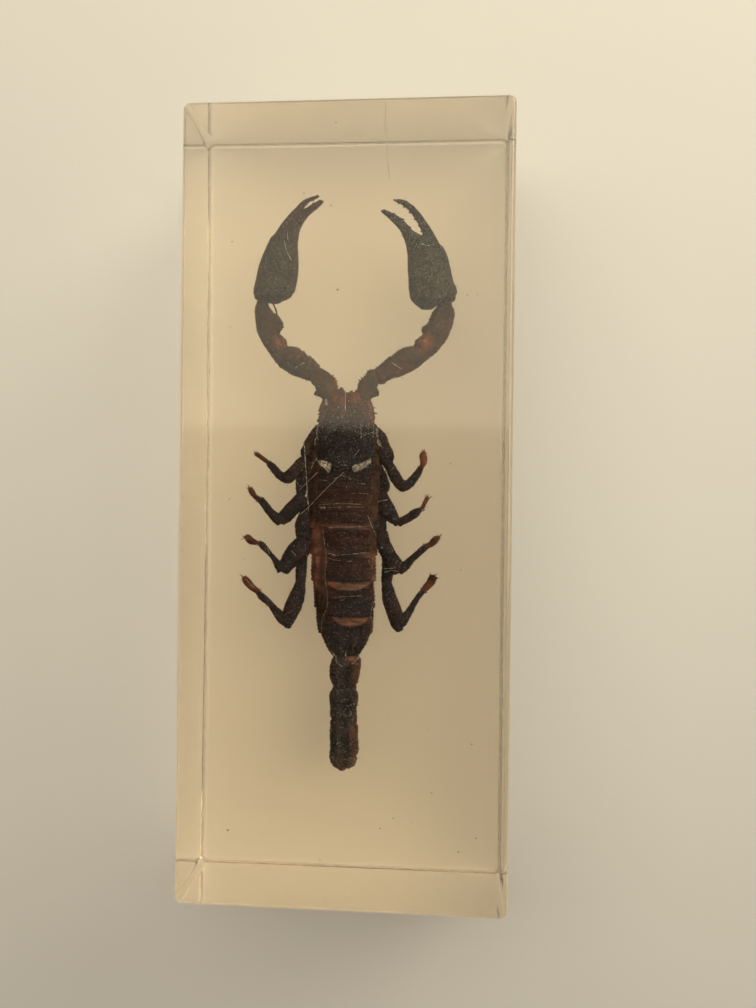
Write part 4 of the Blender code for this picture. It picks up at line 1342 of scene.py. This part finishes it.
# --- Air films -------------------------------------------------------------------------------
# Where the poured resin didn't wet the shell, films of air were left, which shine silver: fine broken lines
# along the plates' edges, slivers beside the head and the tail's root, and two flakes behind the head.

FILM_LINES = (  # for each line its half width, then x and y along it
    (0.08, -1.9, 3.6, -0.6, 4.1, 0.6, 3.6), (0.06, -4.0, 3.5, -2.8, 3.4), (0.05, 1.5, 3.0, 2.5, 3.0),
    (0.05, 1.7, 1.7, 3.0, 1.6), (0.06, -4.1, 0.0, 0.3, 0.2, 2.0, 0.1),
    (0.06, -2.6, -0.4, -1.0, -0.3, 2.4, -0.3), (0.3, -4.0, -0.2, -3.5, -0.4, -3.1, -0.3),
    (0.09, -2.8, -3.1, -2.3, -3.2, -1.5, -3.1, -0.4, -3.1, 2.0, -3.0), (0.04, -1.3, -3.9, -0.1, -3.9),
    (0.1, -2.6, -6.8, -1.9, -7.0, 0.4, -6.9, 2.9, -6.6), (0.07, -2.6, -7.4, -1.9, -7.7, -0.9, -7.8),
    (0.05, 0.0, -7.9, 0.8, -7.9), (0.05, -2.7, -5.5, -2.6, -5.9),
    (0.06, -3.4, -3.5, -2.9, -7.8, -3.0, -9.9, -2.8, -14.8, -3.3, -15.9, -3.5, -17.9),
    (0.06, -2.8, -12.8, -1.8, -13.0, -0.8, -12.9, 2.3, -12.7),
    (0.1, -0.9, -13.1, -0.5, -13.4, -0.1, -13.0), (0.05, 0.3, -14.3, 0.9, -14.3),
    (0.08, 3.1, -7.7, 4.0, -9.8, 3.8, -11.6, 4.0, -12.7, 3.5, -15.5, 3.7, -16.9, 3.4, -18.1),
    (0.22, -4.5, 9.7, -4.7, 9.2, -4.7, 8.6), (0.04, -2.5, 11.3, -2.4, 10.5),
    (0.4, 3.9, 10.9, 4.1, 9.6, 4.3, 8.9, 4.5, 8.4), (0.06, 3.6, 11.3, 3.6, 10.5, 3.5, 9.6),
    (0.04, 5.4, 5.0, 6.0, 2.7), (0.04, -6.0, -5.6, -5.9, -6.7, -5.8, -10.6),
    (0.45, -3.2, 14.9, -3.1, 14.4, -3.2, 14.0), (0.16, -1.7, -20.8, -1.4, -21.5, -1.2, -22.2, -0.4, -22.8),
    (0.13, 0.1, -20.7, 0.0, -21.9), (0.17, 1.9, -21.2, 1.6, -21.8, 0.9, -22.4),
    (0.04, -5.4, -4.6, -5.3, -5.5),
)
FLAKES = (  # x and y round each
    ((-4.5, 6.3), (-3.6, 6.3), (-2.7, 6.0), (-2.2, 5.7), (-2.4, 4.9), (-2.7, 4.5), (-3.2, 5.1),
     (-4.0, 5.6)),
    ((0.7, 5.5), (1.4, 5.7), (2.1, 5.9), (2.6, 6.2), (3.2, 6.5), (3.3, 6.0), (2.8, 5.5), (1.9, 5.0),
     (1.0, 4.6), (0.7, 5.0)),
)
FILM_FINENESS = 0.55
LINE_STEP = 0.16
FLAKE_STEPS = 8
FLAKE_RAGGED = 0.13
FLAKE_RINGS = (0.03, 0.3, 0.55, 0.78, 0.93, 1.0)
FLAKE_UNDER, FLAKE_OVER = 0.05, 0.12  # the heights of a flake's two faces above the shell
FILM_LIFT = 0.03
TOUCH = 0.17  # a point of the shell this near on the plan lies under a place

shell_points = [part for skin in (carapace, plates, soft, tail, legs, jaws) for part in skin.points]
shell_points = np.concatenate(shell_points)
shell_points = shell_points[shell_points[:, 2] > LEVEL - 1]


def shell_height(x, y):
    """The height of the shell's top under each place."""
    spots = np.stack((np.ravel(x), np.ravel(y)), axis=-1)
    tops = []
    for spot in spots:
        near = np.abs(shell_points[:, :2] - spot).max(axis=1) < TOUCH
        tops.append(shell_points[near, 2].max() if near.any() else LEVEL)
    return np.reshape(tops, np.shape(x))


def lots_along(count, *cell, salt):
    """Lots for each of count places in a row."""
    return draw_lots(np.array([(spot, *cell) for spot in range(count)]), salt)


def add_line(skin, line, half, height, number):
    """A fine broken line through x, y, x, y and so on, whose width and way waver.

    height gives its height at places."""
    line, _ = run([(x, y, 0.0) for x, y in zip(line[::2], line[1::2])], LINE_STEP)
    lots = lots_along(len(line), number, 9, salt=77)
    line[:, :2] += (lots[:, :2] - 0.5) * half
    width = half * np.where(lots[:, 3] < 0.25, 0.15, 0.35 + 0.9 * lots[:, 2])
    stations = [(x, y, z, wide, 0.02, 0.02) for (x, y, _), z, wide in zip(line, height(line), width)]
    skin.add_tube(stations, spacing=0.08, sides=6)


def on_shell(line):
    return shell_height(line[:, 0], line[:, 1]) + FILM_LIFT


def flake(outline, number):
    """Rings of points over both faces of a thin crumpled flake with a ragged rim."""
    corners = np.array(outline + outline[:1])
    steps = np.linspace(0, 1, FLAKE_STEPS, endpoint=False)[:, None]
    rim = np.concatenate([start + (stop - start) * steps for start, stop in zip(corners, corners[1:])])
    rim = rim + (lots_along(len(rim), number, 3, salt=78)[:, :2] - 0.5) * FLAKE_RAGGED
    middle = rim.mean(axis=0)
    rings = middle + (rim - middle) * np.array(FLAKE_RINGS)[:, None, None]
    height = shell_height(rings[..., 0], rings[..., 1])[..., None]
    crumple = 0.05 * lumps(np.concatenate((rings, height), axis=-1), (0.4, 0.4, 0.4), 79)[..., None]
    under, over = (np.concatenate((rings, height + crumple + lift), axis=-1)
                   for lift in (FLAKE_UNDER, FLAKE_OVER))
    return np.concatenate((under, over[::-1]))


films = Skin()
for number, (half, *line) in enumerate(FILM_LINES):
    add_line(films, line, half * FILM_FINENESS, on_shell, number)
for number, outline in enumerate(FLAKES):
    films.add_rings(flake(outline, number))
# Painted reflection: the silver shine of the trapped air is painted into this pale colour, brighter still
# over the left flake.
air_silver = Finish("air_silver", Specular_IOR_Level=0.3, Roughness=0.4)
breaks = air_silver.noise(4200, detail=3.0, roughness=0.7).past(0.4, 6.0)
glint = air_silver.mix(air_silver.noise(1800).past(0.3, 2.5), (0.26, 0.22, 0.18), (0.72, 0.67, 0.6))
glint = air_silver.mix(air_silver.near(-3.2, 5.4, 1.6), glint, (0.95, 0.88, 0.78))
air_silver.feed(Base_Color=air_silver.mix(breaks, (0.07, 0.055, 0.045), glint))
air_silver.bump(breaks, 0.02, 0.3)
films.piece("air_films", air_silver)

# --- Bristles --------------------------------------------------------------------------------
# Fine stiff hairs of brown chitin that grew out of the legs, arms, hands and tail. Most broke off short
# before the resin was poured.

BRISTLE_LENGTHS = (0.35, 0.9)
BRISTLE_RADIUS = 0.022
BRISTLED = ((legs, 220), (feet, 90), (arms, 130), (hands, 90), (tail, 60))

bristles = Skin()
for number, (skin, count) in enumerate(BRISTLED):
    roots, outward = np.concatenate(skin.roots), np.concatenate(skin.outward)
    for hair in range(count):
        lot = draw_lots(np.array((hair, number, 1)), 91)
        spot = int(lot[0] * (len(roots) - 1))
        aside = np.array((*(lot[1:3] - 0.5), (lot[3] - 0.5) * 0.6))
        way = unit(outward[spot] + 0.9 * aside)
        length = BRISTLE_LENGTHS[0] + (BRISTLE_LENGTHS[1] - BRISTLE_LENGTHS[0]) * lot[3] ** 2
        root = roots[spot] - outward[spot] * 0.05
        bend = aside * length * 0.15
        bristles.add_thorn(root, root + way * length, BRISTLE_RADIUS, bend=bend, sides=4, steps=4)


def bristle_colour(shell, tone):
    return shell.mix(tone, (0.05, 0.025, 0.014), (0.3, 0.19, 0.1))


bristles.piece("bristles", chitin_finish("bristle_chitin", bristle_colour, glint_colour=(0.5, 0.4, 0.28)))

# --- Marks in the resin ----------------------------------------------------------------------
# Wear and faults of the block's top face, just under the polish: fine pale scratches, a hair crack by the
# upper edge and small pits, with a few tiny bubbles deeper down.

MARK_DEPTH = 0.12
SCRATCHES = (  # for each scratch its half width, then x and y along it
    (0.05, -5.3, 8.4, -4.8, 2.0, -4.6, -0.8), (0.03, -5.9, 1.9, -3.4, 4.4),
    (0.03, -5.7, -1.3, -5.0, -0.7, -2.4, 2.0, 0.1, 4.4), (0.03, 2.3, 9.1, 4.2, 9.9),
    (0.03, 2.3, 10.8, 2.4, 9.0), (0.04, 0.2, 15.2, 0.2, 12.7), (0.04, -8.3, 35.4, -7.9, 33.9, -7.3, 32.8),
    (0.03, -7.9, 36.5, -7.8, 35.5), (0.04, 6.4, 19.0, 7.6, 18.2),
    (0.04, -6.6, 18.3, -6.1, 18.7, -5.3, 19.0), (0.04, 10.1, 34.8, 11.2, 34.5), (0.03, 4.6, 0.5, 6.1, 0.8),
    (0.03, 3.4, -1.4, 4.0, -2.9, 4.6, -4.1), (0.03, 5.6, -8.4, 7.1, -8.3),
    (0.03, 5.7, -8.9, 6.7, -8.6, 7.6, -8.8), (0.03, -10.2, -5.8, -9.8, -6.7),
    (0.03, -10.5, -5.8, -10.3, -6.3), (0.03, -13.1, -10.1, -11.9, -11.3), (0.03, -6.9, -6.1, -6.2, -6.9),
    (0.03, -3.4, 10.7, -3.6, 9.7, -3.4, 8.7), (0.04, -4.3, 4.9, -3.9, 5.7, -3.5, 6.3),
    (0.03, -6.3, 3.1, -5.7, 2.4), (0.03, 1.3, 6.3, 2.2, 7.5),
)
HAIR_CRACK = (5.0, 54.3, 5.2, 52.9, 5.1, 51.0, 5.4, 49.2, 5.4, 47.3, 5.8, 43.3)
PITS = (  # x, y and radius
    (-1.5, 51.2, 0.1), (-2.0, 40.1, 0.09), (-5.7, 41.8, 0.08), (-1.0, 28.8, 0.14), (18.2, -43.8, 0.08),
    (15.9, -45.7, 0.1), (18.3, -53.5, 0.08), (18.3, -54.0, 0.07), (7.2, -41.6, 0.08), (5.5, -43.0, 0.09),
    (-2.5, -47.6, 0.08), (-2.4, -53.2, 0.08), (12.3, -38.0, 0.08), (17.5, -31.4, 0.09),
    (-15.1, -44.1, 0.13), (-10.1, 30.6, 0.07),
)
SCRATCH_FINENESS = 0.75
CRACK_HALF_WIDTH = 0.03
DUST_SPECKS = 90
DUST_FIELD = (15, 66)  # how wide and how long the dusty part of the top face is
TINY_BUBBLES = 12
BUBBLE_FIELD = ((9, 10), (-48, 96), (6, 12))  # off the middle line, along and up: the least and the span

top = BLOCK_HIGH.z - MARK_DEPTH


def on_top(line):
    return np.full(len(line), top)


marks = Skin()
for number, (half, *line) in enumerate(SCRATCHES):
    add_line(marks, line, half * SCRATCH_FINENESS, on_top, 100 + number)
dark_marks = Skin()
add_line(dark_marks, HAIR_CRACK, CRACK_HALF_WIDTH, on_top, 99)
for x, y, radius in PITS:
    dark_marks.add_bead((x, y, top - 0.02), radius, stretch=(1.2, 1.0, 0.5), sides=8)
for speck in range(DUST_SPECKS):
    lot = draw_lots(np.array((speck, 4, 4)), 95)
    place = (BODY_X + (lot[0] - 0.5) * DUST_FIELD[0], 2 + (lot[1] - 0.5) * DUST_FIELD[1], top)
    marks.add_bead(place, 0.025 + 0.03 * lot[2], stretch=(1.0, 1.0 + lot[3], 0.5), sides=6)
pale_mark = Finish("pale_scratch", Specular_IOR_Level=0.2, Roughness=0.5)
mark_tone = pale_mark.noise(2500, detail=3.0).past(0.35, 3.0)
pale_mark.feed(Base_Color=pale_mark.mix(mark_tone, (0.4, 0.33, 0.25), (0.92, 0.86, 0.74)))
marks.piece("resin_scratches", pale_mark, slot="resin", stands_for=())
dull_mark = Finish("dull_pit", Specular_IOR_Level=0.2, Roughness=0.6)
dull_mark.feed(Base_Color=dull_mark.mix(dull_mark.noise(1800), (0.2, 0.15, 0.09), (0.42, 0.34, 0.23)))
dark_marks.piece("resin_pits", dull_mark, slot="resin", stands_for=())

bubbles = Skin()
for number in range(TINY_BUBBLES):
    lot = draw_lots(np.array((number, 2, 7)), 97)
    aside, along, height = (least + span * lot[draw] for (least, span), draw in zip(BUBBLE_FIELD, (3, 1, 2)))
    place = (np.sign(lot[0] - 0.5) * aside, along, height)
    bubbles.add_bead(place, 0.05 + 0.06 * lot[3], sides=12)
# The bubbles wear the air films' painted reflection.
bubbles.piece("bubbles", air_silver, slot="resin", stands_for=())
